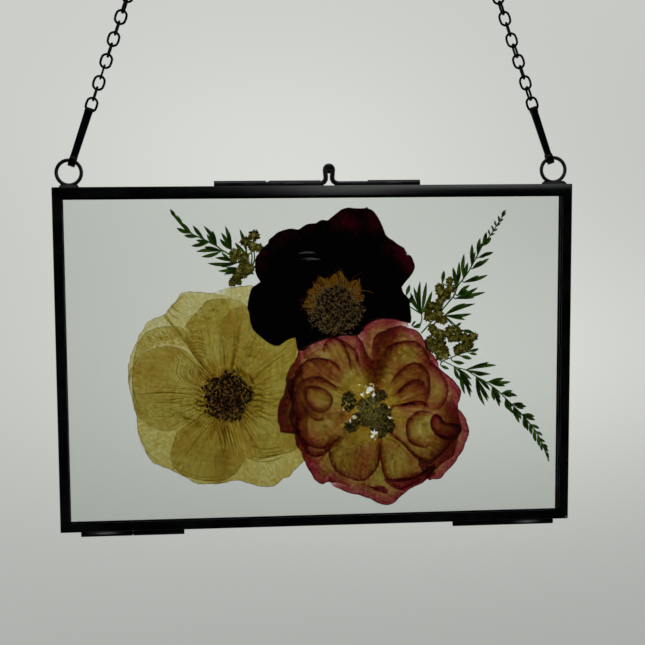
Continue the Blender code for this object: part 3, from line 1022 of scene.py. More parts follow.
@dataclass(frozen=True)
class FrondFilm:
    """A dried fern leaf: darker margins, a lighter midrib, and a little light through it."""

    name: str
    through: Colour
    margin: Colour
    stem: Colour
    surface: Colour
    opaque: float = 0.35
    rough: float = 0.5
    relief: float = 0.5
    relief_height: float = 0.0001

    def film(self, colour: Colour) -> Colour:
        """What one face lets through, for what the whole leaf does."""
        return tuple(min(1.0, math.sqrt(part) / (1 - self.opaque)) for part in colour)

    def build(self) -> Material:
        """Makes the material from the leaf's own UV places and its tint.

        Returns:
            The material.
        """
        material, wires, shader = new_material(self.name)
        margin = self.film(self.margin)
        along, across, _ = wires.axes(wires.add("ShaderNodeTexCoord").outputs["UV"])
        side = wires.sum("ABSOLUTE", wires.sum("SUBTRACT", across, 0.5))
        ragged = wires.scaled(wires.noise(wires.place(), 1400.0, 3.0), 0.25, side)
        colour = wires.mix(wires.span(ragged, 0.25, 0.55), self.film(self.through), margin)
        colour = wires.mix(wires.span(along, 0.0, 0.35, 1.0, 0.0), colour, self.film(self.stem))
        tint = wires.span(wires.attribute("tint"), 0.0, 1.0, 0.0, 0.8)
        colour = wires.mix(tint, colour, margin)
        surface = wires.mix(1.0, colour, self.surface, "MULTIPLY")
        normal = wires.bump(ragged, self.relief, self.relief_height)
        wires.fill(shader, {"Base Color": surface, "Roughness": self.rough, "Normal": normal})
        shine_through(material, wires, shader, colour, self.opaque)
        return material


@dataclass(frozen=True)
class DriedGrains:
    """Dried stamens, florets or bracts: each grain takes a colour from its tint."""

    name: str
    stops: tuple[tuple[float, Colour], ...]
    speckle: Colour
    speckle_scale: float = 2600.0
    rough: float = 0.6
    shine: float = 0.15
    relief: float = 0.6
    relief_height: float = 0.0001

    def build(self) -> Material:
        """Makes the material from the grains' tint.

        Returns:
            The material.
        """
        material, wires, shader = new_material(self.name)
        colour = wires.ramp(wires.attribute("tint"), self.stops)
        grain = wires.noise(wires.place(), self.speckle_scale, 3.0, 0.6)
        colour = wires.mix(wires.span(grain, 0.5, 0.72), colour, self.speckle)
        normal = wires.bump(grain, self.relief, self.relief_height)
        wires.fill(shader, {"Base Color": colour, "Roughness": self.rough, "Normal": normal})
        wires.fill(shader, {"Specular IOR Level": self.shine})
        return material


CREAM_FILM = PetalFilm(
    "cream_film", body=(0.725, 0.65, 0.235), blotch=(0.725, 0.6, 0.2), stain=(0.5, 0.33, 0.05),
    rim=(0.82, 0.76, 0.35), edge=(0.42, 0.36, 0.12), surface=(1.0, 0.9, 0.72), stain_reach=(7.0, 12.0),
    rim_strength=0.9, edge_width=0.3, fibre_gain=0.4, crinkle_gain=0.25, crumple_gain=0.3, heart_gain=0.2,
    gain_reach=(6.0, 12.0), fineness=42.0, opaque=0.1,
)
DARK_FILM = PetalFilm(
    "dark_film", body=(0.033, 0.0002, 0.003), blotch=(0.006, 0.0002, 0.0005), stain=(0.22, 0.006, 0.005),
    rim=(0.02, 0.0003, 0.001), edge=(0.002, 0.0002, 0.0003), surface=(0.3, 0.2, 0.25),
    stain_reach=(9.0, 13.0), rim_width=0.8, edge_width=0.4, fibre_gain=0.5, heart_gain=2.0,
    gain_reach=(16.0, 25.0), opaque=0.02,
)
ROSE_FILM = PetalFilm(
    "rose_film", body=(0.355, 0.26, 0.038), blotch=(0.4, 0.17, 0.06), stain=(0.52, 0.36, 0.02),
    rim=(0.29, 0.022, 0.045), edge=(0.1, 0.003, 0.01), surface=(0.85, 0.45, 0.4), stain_reach=(7.0, 16.0),
    rim_width=5.4, rim_strength=0.95, edge_width=0.42, fibre_gain=0.55, blotch_gain=0.3, crinkle_gain=0.3,
    crumple_gain=0.24, heart_gain=0.1, fineness=34.0, opaque=0.07,
)
CURL_FILM = PetalFilm(
    "curl_film", body=(0.86, 0.74, 0.5), blotch=(0.8, 0.6, 0.45), stain=(0.86, 0.74, 0.4),
    rim=(0.36, 0.02, 0.085), edge=(0.12, 0.002, 0.012), surface=(0.9, 0.6, 0.5), rim_width=2.0,
    edge_width=0.3, fibre_gain=0.5, crumple_gain=0.3, blotch_gain=0.4, crinkle_gain=0.2, heart_gain=0.0,
    opaque=0.03,
)
CREASE_FILM = PetalFilm(
    "crease_film", body=(0.5, 0.37, 0.13), blotch=(0.44, 0.3, 0.09), stain=(0.46, 0.32, 0.08),
    rim=(0.4, 0.28, 0.08), edge=(0.4, 0.28, 0.08), stain_reach=(6.0, 10.0), fibre_gain=0.2, heart_gain=0.0,
    opaque=0.02,
)
SPRIG_FILM = FrondFilm(
    "sprig_film", through=(0.022, 0.07, 0.0015), margin=(0.003, 0.012, 0.0003), stem=(0.08, 0.18, 0.01),
    surface=(0.5, 0.65, 0.12),
)
# Painted sheen: a pale, half-opaque film for the light caught on the dark petals' wrinkles.
SHEEN_STREAK_FILM = PetalFilm(
    "scuff_film", body=(0.9, 0.9, 0.9), blotch=(0.8, 0.8, 0.8), stain=(0.9, 0.9, 0.9), rim=(0.9, 0.9, 0.9),
    edge=(0.9, 0.9, 0.9), surface=(0.5, 0.46, 0.48), opaque=0.6,
)
PURPLE_GRAINS = DriedGrains(
    "purple_stamens",
    stops=((0.0, (0.012, 0.003, 0.001)), (0.6, (0.06, 0.02, 0.01)), (1.0, (0.8, 0.52, 0.22))),
    speckle=(0.06, 0.025, 0.01),
)
GOLDEN_GRAINS = DriedGrains(
    "golden_stamens",
    stops=(
        (0.0, (0.12, 0.01, 0.003)),
        (0.08, (0.05, 0.016, 0.004)),
        (0.42, (1.0, 0.7, 0.26)),
        (0.5, (0.5, 0.1, 0.002)),
        (1.0, (1.0, 0.5, 0.02)),
    ),
    speckle=(0.4, 0.2, 0.02),
)
OLIVE_GRAINS = DriedGrains(
    "olive_florets",
    stops=((0.0, (0.012, 0.01, 0.005)), (0.5, (0.36, 0.31, 0.07)), (1.0, (1.0, 0.86, 0.22))),
    speckle=(0.65, 0.56, 0.18),
)
BUD_GRAINS = DriedGrains(
    "bud_bracts",
    stops=((0.0, (0.02, 0.013, 0.0005)), (0.5, (0.36, 0.3, 0.008)), (1.0, (1.0, 0.95, 0.24))),
    speckle=(0.3, 0.24, 0.01),
)


# ---- Pieces ----


def settle(piece: Piece, finish: Material, body: Body, slot: Slot, *nodes: str) -> Piece:
    """Gives a piece its finish and its moving body.

    Args:
        piece: the new piece.
        finish: its material.
        body: the body it moves with.
        slot: the record's slot that its finish belongs to; it is not used.
        nodes: the CAD nodes that it stands for.

    Returns:
        The piece.
    """
    piece.data.materials.clear()
    piece.data.materials.append(finish)
    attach(piece, body.value)
    if nodes:
        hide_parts(*nodes)
    LOG.info("%s on %s: %d faces", piece.name, body.value, len(piece.data.polygons))
    return piece


class Side(Enum):
    """The two sides that the chain comes down on, by the way it leans."""

    LEFT = 1
    RIGHT = -1


@dataclass
class Chain:
    """The two link runs of the hanging chain, from the bar links up to the middle link."""

    bench: Bench
    finish: Material
    link_length: float = 4.71
    link_width: float = 3.8
    wire: float = 0.35
    pitch: float = 3.31
    links: int = 59
    first_link: float = 20.7
    ring_x: float = 71.85
    ring_y: float = 1.74
    ring_z: float = 55.0
    pull_degrees: float = 19.184
    loose_degrees: float = 9.0
    run: float = 212.0
    bow_left: float = 0.7
    bow_right: float = 0.58

    def link(self) -> Pattern:
        """Models one oval link lying along X, its flat face up.

        Returns:
            The link.
        """
        clear_selection()
        bpy.ops.mesh.primitive_torus_add(
            major_segments=16,
            minor_segments=6,
            major_radius=self.link_width / 2 - self.wire,
            minor_radius=self.wire,
        )
        link = bpy.context.object
        stretch = (self.link_length - self.link_width) / 2
        for side in (1, -1):
            pick_vertices(link, lambda place: place.x * side > 0.01)
            bpy.ops.transform.translate(value=(stretch * side, 0, 0))
        bpy.ops.object.mode_set(mode="OBJECT")
        return Pattern.taken_from(link)

    def build(self, side: Side) -> Piece:
        """Copies the link up one side, each one turned a quarter from the last.

        Args:
            side: the side of the frame.

        Returns:
            The run of links.
        """
        label, inward = side.name.lower(), side.value
        bow_most = self.bow_left if side is Side.LEFT else self.bow_right
        lean = math.radians(self.pull_degrees)
        pull = Vector((inward * math.sin(lean), 0, math.cos(lean)))
        chance = random.Random(label)
        link, press = self.link(), Press(self.bench)
        for number in range(self.links):
            reach = self.first_link + number * self.pitch
            bow = bow_most * math.sin(math.pi * reach / self.run)
            middle = Vector((-inward * self.ring_x + bow, self.ring_y, self.ring_z)) + pull * reach
            roll = math.radians(90 * (number % 2) + chance.uniform(-self.loose_degrees, self.loose_degrees))
            across = Vector((math.cos(lean), 0, -inward * math.sin(lean)))
            across.rotate(Matrix.Rotation(roll, 3, pull))
            axes = np.array([pull, across, pull.cross(across)])
            press.add(link, link.points @ axes + np.array(middle))
        piece = press.make(f"{label}_chain_links")
        return settle(piece, self.finish, Body.HANGER, Slot.METAL, f"{label}_chain_run")


@dataclass
class PressedPart:
    """What each pressed part is made from: the camera's view of the bench, and its finish."""

    view: PhotoView
    finish: Material

    @property
    def bench(self) -> Bench:
        """The frame's own axes."""
        return self.view.bench


@dataclass(frozen=True)
class Petal:
    """One petal: its free edge as read in an enlargement, and how dense it is.

    A petal fans from the flower's middle to its edge, or from the row of points in inner where
    it lies only under the others' rims. Its sides thin out over some degrees where they lie
    under or over a neighbour.
    """

    node: str
    edge: tuple[Point, ...]
    density: float = 1.0
    inner: tuple[Point, ...] = ()
    thinning: tuple[float, float] = (0.0, 0.0)


@dataclass(frozen=True)
class FlowerShape:
    """The petals of one flower, and the enlargement that they were read in."""

    name: str
    crop: Point3
    heart: Point
    petals: tuple[Petal, ...]
    wave: float
    seed: int


CREAM_FLOWER = FlowerShape(
    name="cream",
    crop=(120.0, 280.0, 7.467),
    heart=(800, 870),
    wave=0.1,
    seed=100,
    petals=(
        Petal("top_back", density=0.8, thinning=(9.0, 9.0), edge=(
            (690, 100), (760, 70), (850, 50), (930, 42), (1005, 55), (1060, 200), (1040, 430),
        )),
        Petal("upper_left_back", density=0.85, thinning=(0.0, 9.0), edge=(
            (325, 266), (345, 245), (360, 215), (390, 185), (420, 150), (440, 120), (465, 95), (500, 85),
            (540, 85), (620, 90), (700, 98), (760, 110), (830, 125),
        )),
        Petal(
            "left_back",
            density=0.75,
            inner=(
                (560, 570), (500, 530), (440, 508), (370, 495), (300, 500), (230, 520), (170, 555),
                (125, 610),
            ),
            edge=(
                (345, 250), (310, 265), (265, 280), (225, 300), (195, 325), (170, 370), (140, 420),
                (115, 480), (90, 540), (75, 570), (72, 600), (62, 645), (60, 710), (62, 780),
            ),
        ),
        Petal("lower_left_back", density=1.25, thinning=(4.0, 13.0), edge=(
            (480, 362), (420, 345), (350, 345), (270, 355), (200, 390), (150, 440), (115, 530), (98, 640),
            (92, 760), (95, 850), (108, 960), (120, 990), (128, 1060), (135, 1130), (150, 1180),
            (175, 1230), (195, 1290), (230, 1340), (260, 1370), (320, 1390), (400, 1425), (470, 1460),
            (540, 1500), (590, 1522), (660, 1518), (740, 1520), (850, 1495),
        )),
        Petal("lower_right_back", density=1.25, thinning=(13.0, 9.0), edge=(
            (650, 1500), (725, 1520), (800, 1500), (850, 1495), (910, 1497), (960, 1515), (1010, 1530),
            (1080, 1540), (1130, 1540), (1170, 1520), (1220, 1480), (1260, 1465), (1290, 1430),
            (1340, 1380), (1390, 1300), (1400, 1100), (1380, 800), (1335, 520), (1342, 470), (1330, 425),
            (1200, 250), (1070, 160), (1010, 140),
        )),
        Petal("upper", density=0.85, thinning=(4.0, 22.0), edge=(
            (640, 690), (590, 600), (540, 550), (500, 450), (490, 350), (510, 310), (540, 270), (590, 220),
            (640, 160), (690, 145), (760, 138), (830, 140), (900, 155), (955, 195), (1010, 240),
        )),
        Petal("right", density=0.78, thinning=(22.0, 6.0), edge=(
            (745, 640), (740, 500), (755, 400), (755, 330), (780, 270), (830, 225), (900, 195), (1000, 200),
            (1200, 300), (1330, 425), (1345, 480), (1330, 520), (1310, 560), (1320, 800), (1340, 1010),
        )),
        Petal("lower_right", density=0.7, thinning=(6.0, 8.0), edge=(
            (1330, 940), (1345, 1150), (1335, 1235), (1270, 1280), (1200, 1300), (1130, 1320), (1050, 1335),
            (970, 1335), (915, 1300),
        )),
        Petal("lower", density=0.8, thinning=(5.0, 8.0), edge=(
            (620, 985), (540, 1055), (490, 1085), (440, 1120), (410, 1180), (390, 1240), (378, 1300),
            (385, 1350), (410, 1400), (450, 1440), (520, 1470), (600, 1490), (700, 1500), (780, 1490),
            (850, 1450), (900, 1390), (940, 1330), (955, 1290),
        )),
        Petal("left", density=0.55, thinning=(4.0, 4.0), edge=(
            (660, 700), (600, 620), (560, 570), (500, 530), (440, 505), (370, 490), (300, 495), (230, 515),
            (170, 550), (130, 590), (95, 640), (70, 690), (66, 750), (80, 830), (90, 890), (105, 950),
            (120, 990), (160, 1040), (220, 1085), (290, 1115), (360, 1125), (430, 1110), (470, 1100),
            (530, 1075), (610, 1000),
        )),
    ),
)
DARK_FLOWER = FlowerShape(
    name="dark",
    crop=(240.0, 195.0, 8.476),
    heart=(805, 932),
    wave=0.07,
    seed=200,
    petals=(
        Petal("top", density=1.1, thinning=(0.0, 0.0), edge=(
            (735, 222), (800, 165), (850, 128), (890, 111), (920, 105), (980, 112), (1050, 112), (1076, 99),
            (1086, 113), (1120, 130), (1160, 175), (1190, 230), (1215, 290), (1242, 360),
        )),
        Petal("right", density=0.85, edge=(
            (1225, 320), (1240, 348), (1290, 380), (1340, 420), (1385, 445), (1400, 470), (1417, 495),
            (1404, 505), (1440, 511), (1465, 550), (1478, 600), (1470, 640), (1440, 690), (1400, 735),
            (1362, 785),
        )),
        Petal("lower_right", density=1.5, edge=(
            (1350, 700), (1367, 780), (1382, 820), (1410, 860), (1430, 900), (1442, 960), (1447, 1040),
            (1440, 1085), (1373, 1066), (1254, 1046), (1136, 1066), (1030, 1130),
        )),
        Petal("bottom", density=2.2, edge=(
            (1060, 1100), (1008, 1182), (881, 1192), (726, 1222), (600, 1270), (545, 1314), (490, 1312),
            (476, 1250), (470, 1180),
        )),
        Petal("lower_left", density=1.8, edge=(
            (505, 1200), (430, 1215), (380, 1240), (340, 1270), (310, 1278), (280, 1270), (230, 1245),
            (180, 1205), (130, 1160), (100, 1120), (85, 1060), (75, 1000), (63, 960), (68, 900), (80, 840),
            (100, 790), (155, 745), (230, 700),
        )),
        Petal("upper_left", density=1.3, edge=(
            (150, 790), (170, 740), (140, 680), (125, 620), (130, 550), (150, 500), (200, 440), (235, 410),
            (245, 375), (290, 340), (340, 305), (400, 288), (450, 285), (495, 290), (530, 265), (580, 245),
            (640, 235), (690, 213), (760, 216),
        )),
    ),
)
RUFFLED_FLOWER = FlowerShape(
    name="ruffled",
    crop=(270.0, 310.0, 7.649),
    heart=(775, 765),
    wave=0.1,
    seed=300,
    petals=(
        Petal("top_back", density=0.9, thinning=(12.0, 12.0), edge=(
            (640, 300), (665, 190), (690, 150), (730, 100), (770, 70), (820, 58), (880, 60), (950, 58),
            (1010, 75), (1050, 95), (1062, 140),
        )),
        Petal(
            "right_back",
            density=0.9,
            thinning=(16.0, 0.0),
            inner=((1250, 640), (1260, 850), (1200, 1000), (1130, 1090)),
            edge=(
                (1380, 640), (1425, 742), (1452, 765), (1480, 800), (1500, 850), (1519, 905), (1515, 950),
                (1495, 1010), (1470, 1070), (1420, 1150), (1380, 1200), (1340, 1240), (1290, 1290),
                (1240, 1290), (1205, 1290), (1130, 1180),
            ),
        ),
        Petal("bottom_back", thinning=(8.0, 14.0), edge=(
            (1290, 1240), (1225, 1275), (1150, 1325), (1060, 1370), (990, 1430), (930, 1480), (880, 1488),
            (820, 1470), (760, 1440), (690, 1415), (620, 1400), (550, 1375), (490, 1345), (440, 1300),
        )),
        Petal("far_left", density=1.2, inner=((210, 930), (205, 800), (200, 680), (190, 560)), edge=(
            (260, 950), (150, 943), (110, 935), (80, 928), (65, 870), (55, 800), (62, 740), (80, 690),
            (110, 620), (135, 540), (190, 500),
        )),
        Petal("lower_left_back", density=1.1, thinning=(14.0, 6.0), edge=(
            (600, 1330), (450, 1312), (400, 1330), (350, 1302), (310, 1245), (280, 1190), (250, 1130),
            (240, 1090), (235, 1040),
        )),
        Petal("left", density=0.9, thinning=(6.0, 7.0), edge=(
            (300, 1060), (235, 1072), (205, 1040), (190, 980), (180, 930), (165, 880), (150, 820),
            (153, 760), (165, 700), (140, 630), (121, 560), (126, 500), (145, 450), (190, 385), (212, 325),
            (228, 292), (280, 255),
        )),
        Petal("top_left", density=0.9, thinning=(7.0, 6.0), edge=(
            (262, 380), (250, 300), (285, 255), (350, 230), (400, 215), (440, 195), (490, 184), (560, 180),
            (620, 180), (660, 190), (695, 230), (722, 280), (745, 340), (800, 410),
        )),
        Petal("right", density=0.9, thinning=(6.0, 8.0), edge=(
            (1240, 400), (1290, 440), (1330, 475), (1370, 505), (1410, 545), (1440, 580), (1458, 625),
            (1450, 680), (1435, 730), (1450, 850), (1467, 905), (1440, 960), (1425, 1020), (1400, 1110),
            (1340, 1150), (1270, 1210), (1190, 1282),
        )),
        Petal("top_right", density=0.95, thinning=(6.0, 6.0), edge=(
            (770, 480), (772, 400), (775, 330), (783, 250), (800, 200), (830, 170), (880, 153), (930, 130),
            (960, 118), (1010, 121), (1050, 130), (1110, 150), (1150, 185), (1180, 230), (1210, 290),
            (1250, 350), (1282, 400), (1292, 445),
        )),
    ),
)


def petal_values(
    flat: Array, rim: Array, heart: Array, number: int, density: float
) -> dict[str, Array | float]:
    """The numbers that a petal's finish reads at each point.

    Args:
        flat: X and Z of the points.
        rim: the petal's free edge.
        heart: the flower's middle.
        number: the petal's place in the row, which gives it its own pattern.
        density: how dense the petal is.

    Returns:
        Turn about the flower's middle, reach from it, distance to the rim, and tint.
    """
    axis = rim.mean(axis=0) - heart
    out = flat - heart
    turn = np.arctan2(axis[0] * out[:, 1] - axis[1] * out[:, 0], out @ axis)
    reach = np.linalg.norm(out, axis=1)
    return {"turn": turn + number * 7.0, "reach": reach, "rim": rim_distance(flat, rim), "tint": density}


@dataclass
class FlowerPetals(PressedPart):
    """The thin petals of one flower, each a sheet in the plane of its CAD node."""

    shape: FlowerShape
    slot: Slot
    rings: int = 12
    around: int = 110
    thickness: float = 0.05
    ring_spacing: float = 0.7
    inner_fade: float = 0.3
    waves: tuple[float, ...] = (5.0, 3.4, 2.3, 1.6, 1.1, 0.8)

    def build(self) -> list[Piece]:
        """Makes a sheet for every petal."""
        sheet = Pattern.sheet(self.rings, self.around)
        return [self.petal(sheet, number, petal) for number, petal in enumerate(self.shape.petals)]

    def petal(self, sheet: Pattern, number: int, petal: Petal) -> Piece:
        """Fans a sheet out to one petal's edge.

        Args:
            sheet: the flat grid.
            number: the petal's place in the row.
            petal: the petal.

        Returns:
            The petal, which stands for its CAD node.
        """
        node = f"{self.shape.name}_{petal.node}_petal"
        depth = self.bench.middle_y(node)
        crop = Crop(self.view, *self.shape.crop, depth)
        heart = np.array(crop.at(self.shape.heart))
        rim = smooth_curve(crop.all(petal.edge), self.around + 1, closed=False)
        rim = self.waved(rim, heart, random.Random(self.shape.seed + number))
        start = np.broadcast_to(heart, rim.shape)
        if petal.inner:
            start = smooth_curve(crop.all(petal.inner), self.around + 1, closed=False)
        u, v = sheet.uv.T
        inside = spread(start, v)
        flat = inside + (spread(rim, v) - inside) * (u**self.ring_spacing)[:, None]
        values = petal_values(flat, rim, heart, number, petal.density)
        turn = np.unwrap(np.arctan2(rim[:, 1] - heart[1], rim[:, 0] - heart[0]))
        swept = np.interp(v, np.linspace(0, 1, len(rim)), turn)
        full = np.clip(u / self.inner_fade, 0, 1) if petal.inner else np.ones(len(u))
        for side, width in zip((turn[0], turn[-1]), petal.thinning):
            if width:
                full = full * np.clip(np.abs(swept - side) / math.radians(width), 0, 1)
        press = Press(self.bench)
        press.add(sheet, at_depth(flat, depth), **values, fade=1 - full)
        piece = press.make(f"{node}_sheet", self.thickness)
        return settle(piece, self.finish, Body.BACK, self.slot, node)

    def waved(self, rim: Array, heart: Array, chance: random.Random) -> Array:
        """Makes a free edge a little wavy, with the finer waves shallower.

        Args:
            rim: X and Z of the edge's points.
            heart: the flower's middle.
            chance: gives each wave its place and height.

        Returns:
            The wavy edge.
        """
        length = np.linalg.norm(np.diff(rim, axis=0), axis=1).sum()
        turn = np.linspace(0, length, len(rim))
        swell = np.zeros(len(rim))
        for wave in self.waves:
            ripple = np.sin(turn * 2 * math.pi / wave + chance.uniform(0, 6.28))
            swell += ripple * chance.uniform(0.3, 1) * wave / self.waves[0]
        out = rim - heart
        out /= np.linalg.norm(out, axis=1)[:, None]
        return rim + out * (swell * self.shape.wave)[:, None]


class CurlKind(Enum):
    """How an inner petal's rim runs."""

    PETAL = "open, with its sides running in to the flower's middle"
    ARC = "open, and curled over its own middle"
    ROUND = "closed on itself"
    FOLD = "closed, and dark all over where the edge is turned over"


@dataclass(frozen=True)
class Curl:
    """One small inner petal, read as points along its rim in an enlargement."""

    points: tuple[Point, ...]
    kind: CurlKind = CurlKind.PETAL
    density: float = 1.0


RUFFLED_CURLS = (
    Curl(points=((190, 520), (200, 460), (240, 410), (300, 370), (380, 362), (450, 375), (530, 420))),
    Curl(points=((200, 640), (200, 590), (230, 540), (300, 510), (380, 505), (440, 535), (500, 590))),
    Curl(kind=CurlKind.ROUND, points=(
        (260, 660), (258, 600), (300, 575), (370, 580), (430, 610), (470, 650), (480, 700), (455, 750),
        (400, 785), (330, 770), (280, 720),
    )),
    Curl(points=((230, 700), (250, 750), (290, 800), (340, 840), (390, 848))),
    Curl(points=(
        (260, 755), (210, 800), (195, 860), (200, 930), (230, 990), (300, 1040), (380, 1060), (440, 1050),
        (500, 990),
    )),
    Curl(points=((225, 985), (250, 1050), (290, 1100), (350, 1122), (420, 1098), (450, 1050))),
    Curl(points=(
        (395, 315), (410, 270), (440, 222), (490, 200), (560, 230), (610, 265), (650, 300), (670, 340),
        (668, 385),
    )),
    Curl(points=(
        (870, 315), (910, 270), (970, 245), (1050, 230), (1120, 240), (1170, 280), (1210, 340), (1240, 430),
    )),
    Curl(points=(
        (930, 545), (960, 490), (1020, 430), (1080, 400), (1140, 405), (1190, 440), (1220, 500),
        (1225, 580), (1215, 650), (1180, 735),
    )),
    Curl(points=((985, 665), (1010, 590), (1060, 540), (1120, 525), (1175, 545), (1190, 610))),
    Curl(points=((920, 765), (980, 720), (1060, 705), (1150, 720))),
    Curl(points=(
        (900, 950), (1000, 1010), (1040, 1040), (1080, 1100), (1150, 1160), (1210, 1172), (1280, 1130),
        (1340, 1070), (1390, 1000), (1410, 930),
    )),
    Curl(kind=CurlKind.ARC, points=(
        (1235, 1030), (1180, 1050), (1120, 1040), (1060, 1005), (1037, 930), (1042, 850), (1080, 800),
        (1140, 765), (1200, 770), (1250, 790),
    )),
    Curl(density=0.7, points=(
        (1150, 365), (1254, 415), (1312, 480), (1352, 549), (1362, 620), (1343, 690), (1290, 765),
    )),
    Curl(density=0.7, points=((270, 425), (205, 490), (168, 575), (157, 666), (170, 760), (200, 830))),
    Curl(density=0.8, points=((1010, 745), (1070, 700), (1130, 690), (1190, 705), (1220, 750))),
    Curl(density=0.8, points=((515, 215), (560, 250), (590, 310), (600, 380), (590, 440))),
    Curl(kind=CurlKind.FOLD, density=0.7, points=(
        (1222, 840), (1260, 790), (1310, 815), (1330, 850), (1380, 855), (1430, 865), (1465, 905),
        (1440, 950), (1390, 990), (1310, 980), (1260, 950), (1228, 900),
    )),
    Curl(points=(
        (520, 985), (460, 1030), (445, 1080), (458, 1150), (490, 1220), (540, 1258), (620, 1290),
        (690, 1305), (740, 1290), (800, 1230), (835, 1150), (840, 1000),
    )),
    Curl(points=(
        (858, 985), (845, 1100), (850, 1200), (880, 1280), (950, 1310), (1100, 1280), (1220, 1215),
        (1265, 1165),
    )),
    Curl(kind=CurlKind.FOLD, density=0.5, points=(
        (865, 1290), (950, 1285), (1090, 1270), (1210, 1200), (1265, 1180), (1230, 1260), (1150, 1310),
        (1060, 1350), (1000, 1375), (920, 1340),
    )),
    Curl(kind=CurlKind.FOLD, density=0.6, points=(
        (720, 1325), (770, 1345), (830, 1338), (880, 1350), (900, 1400), (860, 1395), (810, 1380),
        (760, 1350),
    )),
)


@dataclass
class RuffledCurls(PressedPart):
    """The small curled petals that crowd the ruffled flower, in front of its large ones."""

    curls: tuple[Curl, ...] = RUFFLED_CURLS
    rings: int = 9
    around: int = 60
    front: float = -0.5
    step: float = -0.0085
    thickness: float = 0.006
    depth_share: float = 0.45
    first_number: int = 20
    fold_rim: float = 0.2
    middle_fade: float = 0.75
    end_fade: float = 0.16

    def build(self) -> Piece:
        """Makes all the curls as one piece.

        Returns:
            The curls.
        """
        crop = Crop(self.view, *RUFFLED_FLOWER.crop, self.front)
        heart = np.array(crop.at(RUFFLED_FLOWER.heart))
        sheet, press = Pattern.sheet(self.rings, self.around), Press(self.bench)
        for number, curl in enumerate(self.curls):
            self.lay(press, sheet, crop, heart, number, curl)
        piece = press.make("ruffled_inner_petals", self.thickness)
        return settle(piece, self.finish, Body.BACK, Slot.ROSE)

    def lay(self, press: Press, sheet: Pattern, crop: Crop, heart: Array, number: int, curl: Curl) -> None:
        """Fans a sheet out to one curl's rim.

        Args:
            press: collects the curls.
            sheet: the flat grid.
            crop: the enlargement that the curls were read in.
            heart: the flower's middle.
            number: the curl's place in the row.
            curl: the curl.
        """
        u, v = sheet.uv.T
        closed = curl.kind in (CurlKind.ROUND, CurlKind.FOLD)
        rim = smooth_curve(crop.all(curl.points), self.around if closed else self.around + 1, closed)
        if closed:
            rim = np.vstack([rim, rim[:1]])
        own = curl.kind is not CurlKind.PETAL
        middle = rim.mean(axis=0) if own else heart
        start = middle + (rim - middle) * (0.0 if own else self.depth_share)
        inside = spread(start, v)
        flat = inside + (spread(rim, v) - inside) * u[:, None]
        values = petal_values(flat, rim, heart, self.first_number + number, curl.density)
        full = np.ones(len(u))
        if curl.kind is CurlKind.FOLD:
            values["rim"] = values["rim"] * self.fold_rim
        else:
            full = np.clip(u / self.middle_fade, 0, 1)
        if not closed:
            full = full * np.clip(np.minimum(v, 1 - v) / self.end_fade, 0, 1)
        press.add(sheet, at_depth(flat, self.front + self.step * number), **values, fade=1 - full)


@dataclass(frozen=True)
class CreasesAndSheen:
    """A family of strips side by side, read in an enlargement as the first one's path: creases on the cream
    and ruffled flowers, painted sheen streaks on the dark one.
    """

    path: tuple[Point, ...]
    step: Point = (0.0, 0.0)
    count: int = 1
    width: float = 0.3
    density: float = 1.0
    stray: float = 6.0


@dataclass(frozen=True)
class Veins:
    """A fan of fine veins between two directions, given in degrees and millimetres."""

    first: float
    last: float
    count: int
    start: tuple[float, float]
    end: tuple[float, float]
    density: float = 0.5


CREAM_CREASES = (
    CreasesAndSheen(((505, 375), (560, 368), (625, 385)), (4, 24), 9, 0.34, 0.85),
    CreasesAndSheen(((445, 612), (425, 690), (470, 765)), (24, 0), 6, 0.27, 1.3),
    CreasesAndSheen(((540, 650), (590, 700), (600, 760)), (18, -10), 4, 0.23, 1.4),
    CreasesAndSheen(((380, 180), (420, 225), (470, 255)), (-28, 40), 3, 0.23, 1.6),
    CreasesAndSheen(((205, 400), (225, 440), (262, 480)), (36, -9), 9, 0.45, 0.4),
    CreasesAndSheen(((160, 850), (380, 838), (600, 862)), (0, 0), 1, 0.45, 1.1),
    CreasesAndSheen(((190, 800), (380, 800), (590, 830)), (10, 110), 3, 0.23, 0.64),
    CreasesAndSheen(((250, 925), (275, 950), (315, 960)), (60, 22), 6, 0.36, 0.4),
    CreasesAndSheen(((350, 965), (420, 975), (500, 1000)), (26, 18), 7, 0.32, 0.65),
    CreasesAndSheen(((985, 1340), (1100, 1345), (1228, 1312)), (-10, -26), 2, 0.27, 1.6),
    CreasesAndSheen(((985, 1240), (1080, 1260), (1200, 1240)), (16, 26), 3, 0.36, 0.96),
    CreasesAndSheen(((720, 1080), (740, 1150), (760, 1240)), (26, 4), 5, 0.36, 1.9),
    CreasesAndSheen(((560, 1190), (580, 1240), (590, 1290)), (90, 10), 4, 0.18, 1.3),
    CreasesAndSheen(((870, 640), (885, 670), (900, 720)), (26, 16), 5, 0.63, 1.3),
    CreasesAndSheen(((975, 820), (1030, 815), (1080, 840)), (4, 40), 6, 0.54, 0.96),
    CreasesAndSheen(((560, 800), (610, 830), (650, 835)), (-6, 36), 5, 0.63, 1.1),
    CreasesAndSheen(((745, 150), (770, 168), (800, 160)), (-60, 60), 3, 1.1, 0.35),
    CreasesAndSheen(((410, 1400), (600, 1470), (800, 1460)), (10, 24), 2, 0.23, 1.1),
    CreasesAndSheen(((130, 1120), (180, 1260), (290, 1370)), (12, -10), 2, 0.18, 1.3),
    CreasesAndSheen(((75, 690), (80, 820), (150, 1010)), (14, 0), 2, 0.23, 0.8),
    CreasesAndSheen(((350, 240), (400, 170), (480, 100)), (14, 8), 2, 0.18, 1.1),
)
